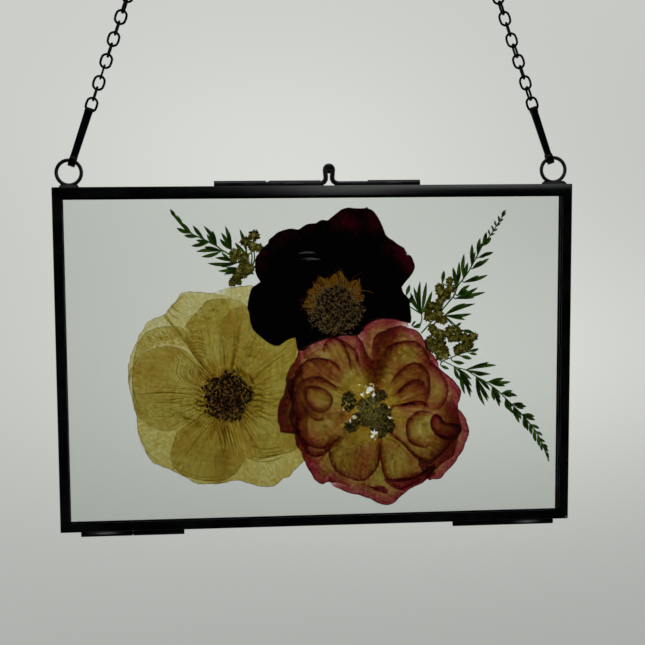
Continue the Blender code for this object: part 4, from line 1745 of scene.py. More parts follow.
CREAM_VEINS = (
    Veins(35, 145, 90, (6.0, 10.0), (11.0, 26.0), 0.55),
    Veins(-60, 35, 80, (6.5, 9.0), (10.0, 21.0), 0.55),
    Veins(-150, -60, 80, (6.5, 10.0), (11.0, 24.0), 0.5),
    Veins(145, 210, 60, (7.0, 10.0), (11.0, 24.0), 0.45),
    Veins(0, 360, 150, (5.5, 6.5), (7.0, 10.5), 1.0),
)
# Painted sheen: pale streaks on the dark flower, standing in for light caught on its wrinkles.
DARK_SHEEN_STREAKS = (
    CreasesAndSheen(((490, 480), (560, 470), (640, 474)), (14, 26), 3, 0.3, 0.5, 14.0),
    CreasesAndSheen(((560, 540), (610, 530), (690, 532)), (-10, 18), 2, 0.25, 0.4, 14.0),
)
RUFFLED_CREASES = (
    CreasesAndSheen(((870, 930), (960, 960), (1040, 1030)), (-20, 30), 2, 0.35, 1.2),
    CreasesAndSheen(((1040, 1030), (1120, 1110), (1240, 1170)), (0, 0), 1, 0.4, 1.2),
    CreasesAndSheen(((790, 560), (772, 430), (778, 300)), (14, 0), 2, 0.3, 1.0),
    CreasesAndSheen(((680, 590), (600, 480), (560, 350)), (30, -10), 4, 0.3, 0.8),
    CreasesAndSheen(((500, 560), (560, 600), (620, 620)), (0, 24), 3, 0.3, 1.0),
    CreasesAndSheen(((480, 790), (540, 770), (600, 770)), (0, 30), 3, 0.3, 1.0),
    CreasesAndSheen(((1150, 850), (1200, 940), (1210, 1000)), (24, 0), 3, 0.25, 0.8),
    CreasesAndSheen(((920, 640), (960, 600), (1010, 560)), (10, 26), 4, 0.3, 0.9),
    CreasesAndSheen(((840, 1000), (836, 1100), (800, 1260)), (14, 0), 2, 0.35, 1.0),
    CreasesAndSheen(((690, 1300), (730, 1330), (800, 1390)), (-40, -20), 3, 0.3, 0.8),
)
RUFFLED_VEINS = (
    Veins(0, 360, 170, (5.0, 9.0), (11.0, 22.0), 0.55),
    Veins(0, 360, 70, (2.5, 4.0), (5.0, 9.0), 1.0),
)


@dataclass
class PetalCreasesAndSheen(PressedPart):
    """The creases and raised veins of a flower: soft-edged strips lying on its front petals. On the dark
    flower the strips are pale streaks of painted sheen.
    """

    shape: FlowerShape
    slot: Slot
    front: float
    creases: tuple[CreasesAndSheen, ...]
    veins: tuple[Veins, ...]
    thickness: float = 0.004
    parts: int = 10
    across: int = 4
    layers: float = 0.02
    end_fade: float = 0.25
    far_from_rim: float = 9.0
    vein_bend: float = 0.06
    vein_width: tuple[float, float] = (0.12, 0.26)

    def build(self) -> Piece:
        """Lays every crease, painted sheen streak and vein, in one piece.

        Returns:
            The strips.
        """
        chance = random.Random(self.shape.seed + 50)
        crop = Crop(self.view, *self.shape.crop, self.front)
        heart = np.array(crop.at(self.shape.heart))
        press = Press(self.bench)
        strip = Pattern.sheet(self.parts, self.across)
        # On the dark flower each family is a set of painted sheen streaks.
        for crease in self.creases:
            for number in range(crease.count):
                shift = [number * part + chance.uniform(-crease.stray, crease.stray) for part in crease.step]
                path = crop.all((x + shift[0], y + shift[1]) for x, y in crease.path)
                width = crease.width * chance.uniform(0.8, 1.2)
                path = smooth_curve(path, self.parts + 1, closed=False)
                self.lay(press, strip, path, width, crease.density, heart, chance)
        for vein in self.veins:
            for _ in range(vein.count):
                path = self.vein_path(vein, heart, chance)
                density = vein.density * chance.uniform(0.4, 1.3)
                self.lay(press, strip, path, chance.uniform(*self.vein_width), density, heart, chance)
        piece = press.make(f"{self.shape.name}_petal_creases", self.thickness)
        return settle(piece, self.finish, Body.BACK, self.slot)

    def vein_path(self, vein: Veins, heart: Array, chance: random.Random) -> Array:
        """Runs one vein outwards in its fan, a little bent.

        Args:
            vein: the fan.
            heart: the flower's middle.
            chance: gives its direction, its ends and its bend.

        Returns:
            X and Z of its points.
        """
        turn = math.radians(chance.uniform(vein.first, vein.last))
        out = np.array([math.cos(turn), math.sin(turn)])
        side = np.array([-out[1], out[0]])
        near, far = chance.uniform(*vein.start), chance.uniform(*vein.end)
        bend = chance.uniform(-self.vein_bend, self.vein_bend) * (far - near)
        row = np.linspace(0, 1, self.parts + 1)[:, None]
        curve = np.sin(row * 2.6 + chance.uniform(0, 3))
        return heart + out * (near + (far - near) * row) + side * bend * curve

    def lay(
        self, press: Press, strip: Pattern, path: Array, width: float, density: float, heart: Array,
        chance: random.Random,
    ) -> None:
        """Lays one strip along a path, fading out at its sides and ends.

        Args:
            press: collects the strips.
            strip: the flat sheet, with its UV running along and across it.
            path: X and Z of the points along it.
            width: its full width, in millimetres.
            density: how dark it is in the middle.
            heart: the flower's middle.
            chance: gives its depth among the others.
        """
        u, v = strip.uv.T
        flat = beside(path, np.rint(u * self.parts).astype(int), (v - 0.5) * width)
        full = (1 - np.abs(2 * v - 1)) * np.clip(np.minimum(u, 1 - u) / self.end_fade, 0, 1)
        depth = self.front + chance.uniform(-self.layers, self.layers)
        reach = np.linalg.norm(flat - heart, axis=1)
        values = {"turn": 0.0, "reach": reach, "rim": self.far_from_rim, "tint": density, "fade": 1 - full}
        press.add(strip, at_depth(flat, depth), **values)


@dataclass
class CreamHeart(PressedPart):
    """The round patch of dark stamens in the cream flower."""

    node: str = "cream_flower_heart"
    middle_px: Point = (227.5, 396.5)
    radius: float = 7.2
    stamens: int = 1350
    stamen: Point3 = (0.25, 0.05, 0.14)
    grounds: int = 180
    ground_scale: float = 2.8
    skin: float = 0.06
    strays: tuple[Point, ...] = (
        (575, 905), (695, 1055), (740, 1050), (800, 1090), (840, 1060),
        (905, 1025), (985, 850), (635, 800), (697, 705), (625, 940),
    )
    stray_gap: float = 0.2

    def build(self) -> Piece:
        """Scatters the stamens over the patch, thickest in the middle.

        Returns:
            The stamens.
        """
        chance = random.Random(11)
        low, high = self.bench.box(self.node)
        middle = self.view.on_plane(*self.middle_px, low[1])
        bead, press = Pattern.bead(), Press(self.bench)
        for number in range(self.stamens + self.grounds):
            ground = number >= self.stamens
            part = (number - self.stamens) / self.grounds if ground else (number + 0.5) / self.stamens
            angle = seed_turn(number)
            lobes = 1 + 0.1 * math.sin(angle * 5 + 1) + chance.uniform(-0.1, 0.1)
            reach = self.radius * math.sqrt(part) * lobes
            depth = high[1] - self.skin
            if not ground:
                depth = chance.uniform(low[1] + self.skin, high[1] - 0.1)
            place = (middle[0] + reach * math.cos(angle), depth, middle[1] + reach * math.sin(angle))
            self.stand(press, bead, place, chance, self.ground_scale if ground else 1.0)
        for x, z in Crop(self.view, *CREAM_FLOWER.crop, low[1]).all(self.strays):
            for _ in range(3):
                aside, above = (chance.uniform(-self.stray_gap, self.stray_gap) for _ in range(2))
                self.stand(press, bead, (x + aside, low[1] + 0.07, z + above), chance, 1.0)
        piece = press.make("cream_flower_stamens")
        return settle(piece, self.finish, Body.BACK, Slot.PURPLE_HEART, self.node)

    def stand(
        self, press: Press, bead: Pattern, place: Sequence[float], chance: random.Random, scale: float
    ) -> None:
        """Puts one stamen in its place.

        Args:
            press: collects the stamens.
            bead: the stamen's shape.
            place: where its middle goes on the bench.
            chance: gives its size, shade and turn.
            scale: how large it is; one that isn't of the usual size is part of the dark ground.
        """
        size = chance.uniform(0.7, 1.15) * scale
        half = (self.stamen[0] * size, self.stamen[1], self.stamen[2] * size)
        tint = chance.random() ** 2.2 if scale == 1 else 0.0
        press.add(bead, turned(bead, place, half, chance.uniform(0, math.pi)), tint=tint)


@dataclass
class GoldenHeart(PressedPart):
    """The tangle of curled stamens in the dark flower, with golden flames above it."""

    node: str = "dark_flower_heart"
    middle: Point = (805.0, 960.0)
    spread: tuple[float, float] = (8.3, 7.6)
    stamens: int = 850
    flames: tuple[tuple[Point, Point, int], ...] = (
        ((640, 945), (520, 945), 18), ((650, 905), (530, 905), 18), ((660, 865), (570, 800), 20),
        ((690, 825), (620, 745), 20), ((720, 800), (665, 695), 24), ((765, 790), (735, 700), 20),
        ((800, 770), (795, 660), 20), ((840, 770), (830, 640), 24), ((880, 790), (880, 690), 20),
        ((920, 805), (950, 735), 20), ((940, 825), (1010, 705), 22), ((950, 850), (1030, 775), 16),
        ((950, 870), (1060, 850), 14),
    )
    flame_width: float = 1.5
    flame_strand: float = 0.17
    filament: tuple[Point, Point] = ((1000, 815), (1130, 832))
    filament_width: float = 0.09
    filament_tint: float = 0.75
    strand_depth: float = 0.04
    curl: float = 0.35

    def build(self) -> Piece:
        """Lays the flames first and the curled stamens on them.

        Returns:
            The stamens and flames.
        """
        chance = random.Random(23)
        low, high = self.bench.box(self.node)
        crop = Crop(self.view, *DARK_FLOWER.crop, low[1])
        middle = crop.at(self.middle)
        strand, press = self.strand(), Press(self.bench)
        for base, tip, blades in self.flames:
            ends = np.array(crop.all((base, tip)))
            self.flame(press, strand, ends, blades, high[1] - 0.03, chance)
        start, end = crop.all(self.filament)
        self.lay(press, strand, start, end, self.filament_width, low[1] + 0.05, self.filament_tint, chance)
        for number in range(self.stamens):
            share = math.sqrt((number + 0.5) / self.stamens)
            angle = seed_turn(number)
            x = middle[0] + self.spread[0] * share * math.cos(angle) + chance.uniform(-0.3, 0.3)
            z = middle[1] + self.spread[1] * share * math.sin(angle) + chance.uniform(-0.3, 0.3)
            turn = chance.uniform(0, 2 * math.pi)
            length = chance.uniform(0.6, 1.5)
            end = (x + length * math.cos(turn), z + length * math.sin(turn))
            depth = chance.uniform(low[1] + 0.05, high[1] - 0.08)
            tint = chance.random() ** 0.8 * 0.45
            self.lay(press, strand, (x, z), end, chance.uniform(0.06, 0.1), depth, tint, chance)
        piece = press.make("dark_flower_stamens")
        return settle(piece, self.finish, Body.BACK, Slot.GOLDEN_HEART, self.node)

    @staticmethod
    def strand() -> Pattern:
        """Models one thin strand, a long bead that runs from -1 to 1 along its Z.

        Returns:
            The strand.
        """
        clear_selection()
        bpy.ops.mesh.primitive_uv_sphere_add(segments=4, ring_count=6, radius=1)
        strand = Pattern.taken_from(bpy.context.object)
        strand.faces.sort()  # a new sphere lists its faces in another order each run
        return strand

    def lay(
        self, press: Press, strand: Pattern, start: Sequence[float], end: Sequence[float], width: float,
        depth: float, tint: float, chance: random.Random,
    ) -> None:
        """Lays one strand from its start to its end, a little curled.

        Args:
            press: collects the strands.
            strand: the strand's shape.
            start: X and Z of one end.
            end: X and Z of the other.
            width: half its thickness.
            depth: its Y.
            tint: its place on the finish's range of colours.
            chance: gives its curl.
        """
        across, through, along = strand.points.T
        start, step = np.array(start), np.array(end) - np.array(start)
        side = np.array([-step[1], step[0]])
        swing = chance.uniform(-self.curl, self.curl) * (1 - along**2)
        spine = start + ((along + 1) / 2)[:, None] * step + swing[:, None] * side
        spine = spine + (across * width / math.hypot(*step))[:, None] * side
        press.add(strand, at_depth(spine, depth + through * self.strand_depth), tint=tint)

    def flame(
        self, press: Press, strand: Pattern, ends: Array, blades: int, depth: float, chance: random.Random
    ) -> None:
        """Fans strands from a flame's base to its tip, long ones in the middle.

        Args:
            press: collects the strands.
            strand: the strand's shape.
            ends: X and Z of the base and of the tip.
            blades: how many strands it has.
            depth: its Y.
            chance: gives the strands their length, shade and curl.
        """
        base, step = ends[0], ends[1] - ends[0]
        side = np.array([-step[1], step[0]]) / np.linalg.norm(step)
        for number in range(blades):
            place = (number / (blades - 1) - 0.5) * 2
            start = base + side * place * self.flame_width
            reach = (1 - 0.5 * place**2) * chance.uniform(0.8, 1.08)
            end = base + step * reach + side * place * self.flame_width * 0.75
            tint = 1.0 - 0.5 * abs(place) * chance.uniform(0.6, 1.0)
            if number % 5 == 0:
                end, tint = end + step * 0.4 * chance.random(), 0.0
            layer = depth + chance.uniform(-0.03, 0.03)
            self.lay(press, strand, start, end, self.flame_strand, layer, tint, chance)


HEART_HOLES = (
    (765, 605, 1.3), (790, 650, 0.9), (705, 642, 0.5), (640, 815, 0.7), (612, 850, 0.5), (912, 822, 0.55),
    (800, 935, 1.0), (785, 965, 0.6), (905, 740, 0.4), (560, 760, 0.35),
)


@dataclass(frozen=True)
class FloretPatch:
    """An oval patch of florets, read in an enlargement."""

    middle: Point
    half: Point
    count: int
    tint: float
    scale: float = 1.0

    def ground(self) -> FloretPatch:
        """The large dark florets that lie under the patch."""
        return FloretPatch(self.middle, self.half, self.count // 4, 0.0, 2.6)


@dataclass
class OliveHeart(PressedPart):
    """The crumbled middle of the ruffled flower: olive florets with black gaps."""

    node: str = "ruffled_flower_heart"
    patches: tuple[FloretPatch, ...] = (
        FloretPatch((770, 745), (105, 85), 420, 0.6),
        FloretPatch((600, 700), (50, 75), 150, 0.0),
        FloretPatch((625, 890), (50, 45), 110, 0.05),
        FloretPatch((905, 880), (45, 55), 130, 0.05),
        FloretPatch((850, 650), (50, 35), 90, 0.05),
        FloretPatch((700, 830), (80, 55), 170, 0.3),
        FloretPatch((800, 860), (70, 55), 180, 0.5),
        FloretPatch((880, 790), (50, 55), 110, 0.2),
        FloretPatch((840, 935), (50, 35), 70, 0.1),
    )
    floret: Point3 = (0.3, 0.05, 0.15)
    hole_margin: float = 24.0
    skin: float = 0.06

    def build(self) -> Piece:
        """Scatters florets over each patch, on their dark ground.

        Returns:
            The florets.
        """
        chance = random.Random(37)
        low, high = self.bench.box(self.node)
        crop = Crop(self.view, *RUFFLED_FLOWER.crop, low[1])
        bead, press = Pattern.bead(), Press(self.bench)
        for patch in [*(patch.ground() for patch in self.patches), *self.patches]:
            for _ in range(patch.count):
                turn, share = chance.uniform(0, 2 * math.pi), math.sqrt(chance.random())
                x_crop = patch.middle[0] + patch.half[0] * share * math.cos(turn)
                y_crop = patch.middle[1] + patch.half[1] * share * math.sin(turn)
                spot = (x_crop, y_crop)
                if any(math.dist(spot, hole[:2]) < hole[2] * self.hole_margin for hole in HEART_HOLES):
                    continue
                x, z = crop.at(spot)
                size = chance.uniform(0.6, 1.3) * patch.scale
                usual = patch.scale == 1
                depth = chance.uniform(low[1] + self.skin, high[1] - 0.1) if usual else high[1] - self.skin
                half = (self.floret[0] * size, self.floret[1], self.floret[2] * size)
                shade = held(patch.tint + chance.uniform(-0.25, 0.35)) if usual else 0.0
                press.add(bead, turned(bead, (x, depth, z), half, chance.uniform(0, math.pi)), tint=shade)
        piece = press.make("ruffled_flower_florets")
        return settle(piece, self.finish, Body.BACK, Slot.OLIVE_HEART, self.node)


Leaf = tuple[Point, tuple[Point, ...]]


@dataclass(frozen=True)
class SprigShape:
    """One fern sprig, read in an enlargement: its stems, and its leaflets as a base with tips."""

    node: str
    crop: Point3
    stems: tuple[tuple[Point, ...], ...]
    leaves: tuple[Leaf, ...]
    seed: int


LEFT_SPRIG = SprigShape(
    node="left_fern_sprig",
    crop=(160.0, 200.0, 14.25),
    stems=(
        (
            (145, 135), (215, 250), (300, 350), (375, 430), (490, 500), (610, 550), (700, 600), (800, 650),
            (880, 710), (990, 775), (1050, 820),
        ),
        ((1290, 700), (1310, 800), (1300, 930)), ((1340, 730), (1345, 850), (1320, 930)),
        ((1050, 820), (1180, 900), (1330, 1060)),
    ),
    leaves=(
        ((240, 265), ((145, 130),)), ((330, 375), ((235, 215),)), ((450, 470), ((310, 320), (232, 395))),
        ((540, 525), ((340, 505),)), ((630, 560), ((465, 360),)), ((700, 600), ((515, 570), (440, 655))),
        ((810, 655), ((620, 365), (745, 430), (665, 485))),
        ((880, 725), ((625, 665), (510, 735), (585, 808))),
        ((1020, 710), ((930, 365), (870, 460), (990, 460), (850, 550))),
        ((1110, 890), ((780, 820), (670, 900), (870, 955))), ((1240, 770), ((1135, 410), (1065, 600))),
        ((880, 750), ((990, 850),)), ((1200, 985), ((930, 960), (820, 1010), (905, 1060))),
        ((1320, 1040), ((1120, 1000), (1130, 1090))),
    ),
    seed=3,
)
RIGHT_UPPER_SPRIG = SprigShape(
    node="right_upper_fern_sprig",
    crop=(395.0, 200.0, 10.45),
    stems=(
        (
            (1150, 105), (1080, 230), (1010, 340), (960, 410), (900, 490), (860, 570), (800, 680),
            (760, 750), (710, 820), (650, 900), (610, 1000), (560, 1060), (510, 1120), (460, 1170),
            (360, 1290), (270, 1390),
        ),
        ((275, 1190), (275, 1250), (250, 1330)), ((510, 1205), (440, 1260), (340, 1350)),
    ),
    leaves=(
        ((1130, 150), ((1150, 100), (1125, 108))), ((1112, 178), ((1122, 118), (1156, 134))),
        ((1082, 228), ((1075, 160), (1128, 190))), ((1055, 275), ((1036, 212), (1100, 238))),
        ((1022, 325), ((1003, 262), (1068, 297))), ((990, 370), ((972, 305), (1040, 345))),
        ((955, 420), ((942, 350), (1005, 395))), ((905, 480), ((950, 330), (1000, 400))),
        ((855, 570), ((885, 395), (905, 450))), ((795, 690), ((800, 455), (835, 540))),
        ((710, 820), ((718, 555), (755, 650))), ((625, 900), ((665, 640), (600, 700))),
        ((640, 920), ((685, 740),)), ((490, 870), ((508, 735),)), ((865, 600), ((1025, 545), (960, 560))),
        ((800, 720), ((980, 605), (900, 630))), ((710, 860), ((970, 780), (870, 785))),
        ((645, 1000), ((780, 885), (760, 940))), ((620, 1030), ((865, 910), (945, 960), (830, 1020))),
        ((510, 1205), ((740, 1075), (840, 1080), (800, 1185), (730, 1250))),
        ((275, 1190), ((260, 840), (190, 905), (325, 850), (385, 945), (155, 960))),
        ((110, 1000), ((150, 880),)), ((130, 1100), ((190, 990),)), ((170, 1310), ((215, 1260),)),
        ((190, 1330), ((270, 1290),)), ((620, 1330), ((690, 1280),)), ((690, 1360), ((815, 1385),)),
    ),
    seed=5,
)
RIGHT_LOWER_SPRIG = SprigShape(
    node="right_lower_fern_sprig",
    crop=(430.0, 330.0, 11.2),
    stems=(
        (
            (130, 340), (200, 370), (290, 415), (400, 445), (500, 510), (600, 565), (680, 620), (760, 680),
            (830, 750), (910, 830), (990, 910), (1060, 980), (1120, 1060), (1190, 1150), (1250, 1270),
            (1300, 1390), (1325, 1465),
        ),
        ((130, 345), (220, 310), (330, 265), (430, 235), (535, 210)),
    ),
    leaves=(
        ((240, 340), ((385, 370),)), ((330, 285), ((465, 320),)), ((430, 255), ((525, 270),)),
        ((430, 235), ((540, 205), (480, 150))), ((330, 265), ((400, 190),)),
        ((400, 440), ((660, 355), (745, 390), (680, 490))), ((470, 465), ((615, 500),)),
        ((640, 575), ((825, 535), (905, 575), (840, 625))),
        ((800, 700), ((920, 675), (975, 735), (910, 745))),
        ((920, 820), ((1040, 820), (1075, 855), (1045, 880))), ((1030, 940), ((1165, 965), (1175, 1005))),
        ((1120, 1050), ((1220, 1100),)), ((1180, 1130), ((1255, 1180),)), ((1220, 1200), ((1285, 1250),)),
        ((1250, 1270), ((1315, 1310), (1320, 1360))), ((265, 410), ((465, 550), (330, 560))),
        ((330, 440), ((465, 630), (470, 700), (450, 755), (385, 720))),
        ((510, 520), ((670, 680), (660, 770), (645, 800), (610, 850), (545, 750))),
        ((690, 635), ((785, 760), (795, 815), (775, 860), (715, 790))),
        ((840, 765), ((935, 940), (915, 860), (870, 890))),
        ((930, 850), ((995, 1040), (1020, 1000), (960, 980))), ((1040, 965), ((1090, 1130), (1060, 1100))),
        ((1110, 1045), ((1135, 1170),)), ((1160, 1110), ((1180, 1250),)), ((1200, 1180), ((1220, 1300),)),
        ((1240, 1260), ((1250, 1350),)), ((1285, 1350), ((1325, 1430),)), ((110, 390), ((210, 435),)),
    ),
    seed=7,
)


@dataclass
class FernSprigs(PressedPart):
    """The flat fern sprigs behind the flowers: stems as ribbons and leaflets as pointed blades."""

    shapes: tuple[SprigShape, ...] = (LEFT_SPRIG, RIGHT_UPPER_SPRIG, RIGHT_LOWER_SPRIG)
    blade_ratio: float = 0.28
    blade_least: float = 0.4
    blade_most: float = 1.05
    blade_base: float = 0.24
    blade_bend: float = 0.06
    layers: float = 0.035
    stem_parts: int = 40
    stem_tip: float = 0.28
    stem_base: float = 0.5
    stem_tint: float = 0.25
    stalk_gap: float = 0.35
    thickness: float = 0.03

    def build(self) -> list[Piece]:
        """Makes one piece of every sprig."""
        return [self.sprig(shape) for shape in self.shapes]

    def sprig(self, shape: SprigShape) -> Piece:
        """Lays the stems of a sprig and then its leaflets.

        Args:
            shape: the sprig.

        Returns:
            The sprig as one piece.
        """
        chance = random.Random(shape.seed)
        middle = self.bench.middle_y(shape.node)
        crop = Crop(self.view, *shape.crop, middle)
        blade, ribbon, press = Pattern.sheet(8, 2), Pattern.sheet(self.stem_parts, 1), Press(self.bench)
        paths = [smooth_curve(crop.all(stem), self.stem_parts + 1, closed=False) for stem in shape.stems]
        for path in paths:
            self.stem(press, ribbon, path, middle)
        for base, tips in shape.leaves:
            start = np.array(crop.at(base))
            self.stalk(press, ribbon, start, np.concatenate(paths), middle)
            for tip in tips:
                depth = middle + chance.uniform(-self.layers, self.layers)
                self.leaflet(press, blade, start, np.array(crop.at(tip)), depth, chance)
        piece = press.make(f"{shape.node}_leaves", self.thickness)
        return settle(piece, self.finish, Body.BACK, Slot.SPRIG, shape.node)

    def stem(self, press: Press, ribbon: Pattern, path: Array, depth: float) -> None:
        """Lays a ribbon along a stem, from its base to its thin tip.

        Args:
            press: collects the parts.
            ribbon: the flat strip.
            path: X and Z from the tip to the base.
            depth: its Y.
        """
        u, v = ribbon.uv.T
        row = self.stem_parts - np.rint(u * self.stem_parts).astype(int)
        width = self.stem_base + (self.stem_tip - self.stem_base) * u
        flat = beside(path, row, (v - 0.5) * width)
        press.add(ribbon, at_depth(flat, depth), tint=self.stem_tint)

    def stalk(self, press: Press, ribbon: Pattern, start: Array, stem: Array, depth: float) -> None:
        """Joins the base of a leaf to the nearest stem, where a gap is left.

        Args:
            press: collects the parts.
            ribbon: the flat strip.
            start: X and Z of the leaf's base.
            stem: X and Z of all points of the stems.
            depth: its Y.
        """
        gap = np.linalg.norm(stem - start, axis=1)
        if gap.min() > self.stalk_gap:
            root = stem[int(gap.argmin())]
            share = np.linspace(0.0, 1.0, self.stem_parts + 1)[:, None]
            self.stem(press, ribbon, start + share * (root - start), depth)

    def leaflet(
        self, press: Press, blade: Pattern, start: Array, tip: Array, depth: float, chance: random.Random
    ) -> None:
        """Lays one pointed blade from its base to its tip, a little bent.

        Args:
            press: collects the parts.
            blade: the flat sheet, with its UV running from base to tip.
            start: X and Z of its base.
            tip: X and Z of its tip.
            depth: its Y.
            chance: gives its bend and shade.
        """
        u, v = blade.uv.T
        step = tip - start
        length = float(np.linalg.norm(step))
        side = np.array([-step[1], step[0]]) / length
        full = min(self.blade_most, max(self.blade_least, length * self.blade_ratio))
        width = full * np.sin(math.pi * u**1.25) ** 0.9 + self.blade_base * (1 - u)
        bend = chance.uniform(-self.blade_bend, self.blade_bend) * length * np.sin(math.pi * u)
        flat = start + u[:, None] * step + side * (bend + (v - 0.5) * width)[:, None]
        press.add(blade, at_depth(flat, depth), tint=chance.random() * 0.8)


@dataclass(frozen=True)
class BudShape:
    """A cluster of dry buds, each read in an enlargement as a place and a radius."""

    node: str
    crop: Point3
    buds: tuple[Point3, ...]
    seed: int


LEFT_BUDS = BudShape(
    node="left_bud_cluster",
    crop=(225.0, 225.0, 20.0),
    buds=(
        (580, 205, 90), (410, 330, 85), (545, 400, 75), (545, 470, 60), (675, 460, 75), (210, 570, 90),
        (170, 670, 70), (280, 620, 60), (390, 640, 80), (400, 730, 70), (350, 760, 60), (430, 820, 90),
        (330, 840, 60), (510, 860, 70), (300, 920, 75), (400, 930, 70), (470, 900, 60), (230, 1010, 70),
        (320, 1000, 60), (180, 1120, 75), (240, 1080, 60), (140, 1160, 60), (390, 1010, 50),
        (280, 1140, 50),
    ),
    seed=41,
)
RIGHT_BUDS = BudShape(
    node="right_bud_cluster",
    crop=(425.0, 275.0, 13.333),
    buds=(
        (325, 75, 45), (190, 165, 50), (210, 225, 60), (335, 180, 55), (285, 270, 50), (195, 345, 50),
        (240, 300, 45), (160, 430, 60), (75, 410, 50), (40, 490, 50), (110, 540, 50), (185, 520, 50),
        (40, 560, 50), (235, 600, 50), (170, 590, 40), (95, 710, 50), (130, 760, 55), (200, 780, 50),
        (190, 840, 60), (60, 880, 60), (130, 920, 60), (210, 930, 60), (250, 990, 50), (180, 1010, 55),
        (110, 980, 50), (60, 950, 50), (330, 730, 55), (400, 720, 50), (440, 770, 50), (350, 840, 50),
        (300, 780, 50), (420, 830, 50), (520, 840, 60), (635, 820, 55), (560, 920, 60), (470, 960, 50),
        (430, 980, 50), (530, 960, 50), (600, 930, 40), (420, 1030, 35), (190, 1080, 50), (270, 1060, 50),
    ),
    seed=43,
)


@dataclass
class DryBuds(PressedPart):
    """The dry bud clusters: each bud is a tight rosette of small bracts."""

    shapes: tuple[BudShape, ...] = (LEFT_BUDS, RIGHT_BUDS)
    bracts: int = 26
    bud_scale: float = 0.4
    bract: Point3 = (0.34, 0.07, 0.2)
    skin: float = 0.08

    def build(self) -> list[Piece]:
        """Makes one piece of every cluster."""
        return [self.cluster(shape) for shape in self.shapes]

    def cluster(self, shape: BudShape) -> Piece:
        """Puts the buds of one cluster in their places.

        Args:
            shape: the cluster.

        Returns:
            The cluster as one piece.
        """
        chance = random.Random(shape.seed)
        low, high = self.bench.box(shape.node)
        crop = Crop(self.view, *shape.crop, self.bench.middle_y(shape.node))
        bead, press = Pattern.bead(), Press(self.bench)
        for x_crop, y_crop, size in shape.buds:
            x, z = crop.at((x_crop, y_crop))
            radius = size / shape.crop[2] * self.bud_scale
            half = (radius * self.bract[0], self.bract[1], radius * self.bract[2])
            lean = chance.uniform(0, 2 * math.pi)
            shade = chance.uniform(0.2, 0.6)
            for number in range(self.bracts):
                angle = lean + seed_turn(number)
                reach = radius * 0.85 * math.sqrt(number / self.bracts)
                depth = chance.uniform(low[1] + self.skin, high[1] - self.skin)
                place = (x + reach * math.cos(angle), depth, z + reach * math.sin(angle))
                # Painted shade: each bud's bracts are darker towards its rim and lighter in its middle, on
                # top of the bud's own tone and a random spread.
                tint = held(shade + 0.45 - 0.9 * reach / radius + chance.uniform(-0.4, 0.4))
                press.add(bead, turned(bead, place, half, angle + chance.uniform(-0.4, 0.4)), tint=tint)
        piece = press.make(f"{shape.node}_bracts")
        return settle(piece, self.finish, Body.BACK, Slot.BUD, shape.node)


# ---- Studio ----


@dataclass(frozen=True)
class Lamp:
    """One soft square lamp: its place from the middle of the frame, its side in metres and its power."""

    name: str
    place: Point3
    size: float
    watts: float

    def hang(self, aim: Vector, height: float) -> Piece:
        """Hangs the lamp, hidden from the camera and from glass, so that it faces the frame.

        Args:
            aim: the place it faces.
            height: the world height that its own place is measured from.

        Returns:
            The lamp.
        """
        data = bpy.data.lights.new(self.name, "AREA")
        data.size = self.size
        data.energy = self.watts
        lamp = bpy.data.objects.new(self.name, data)
        lamp.location = (self.place[0], self.place[1], height + self.place[2])
        lamp.rotation_euler = (aim - lamp.location).to_track_quat("-Z", "Y").to_euler()
        lamp.visible_camera = False
        lamp.visible_transmission = False
        bpy.context.scene.collection.objects.link(lamp)
        return lamp


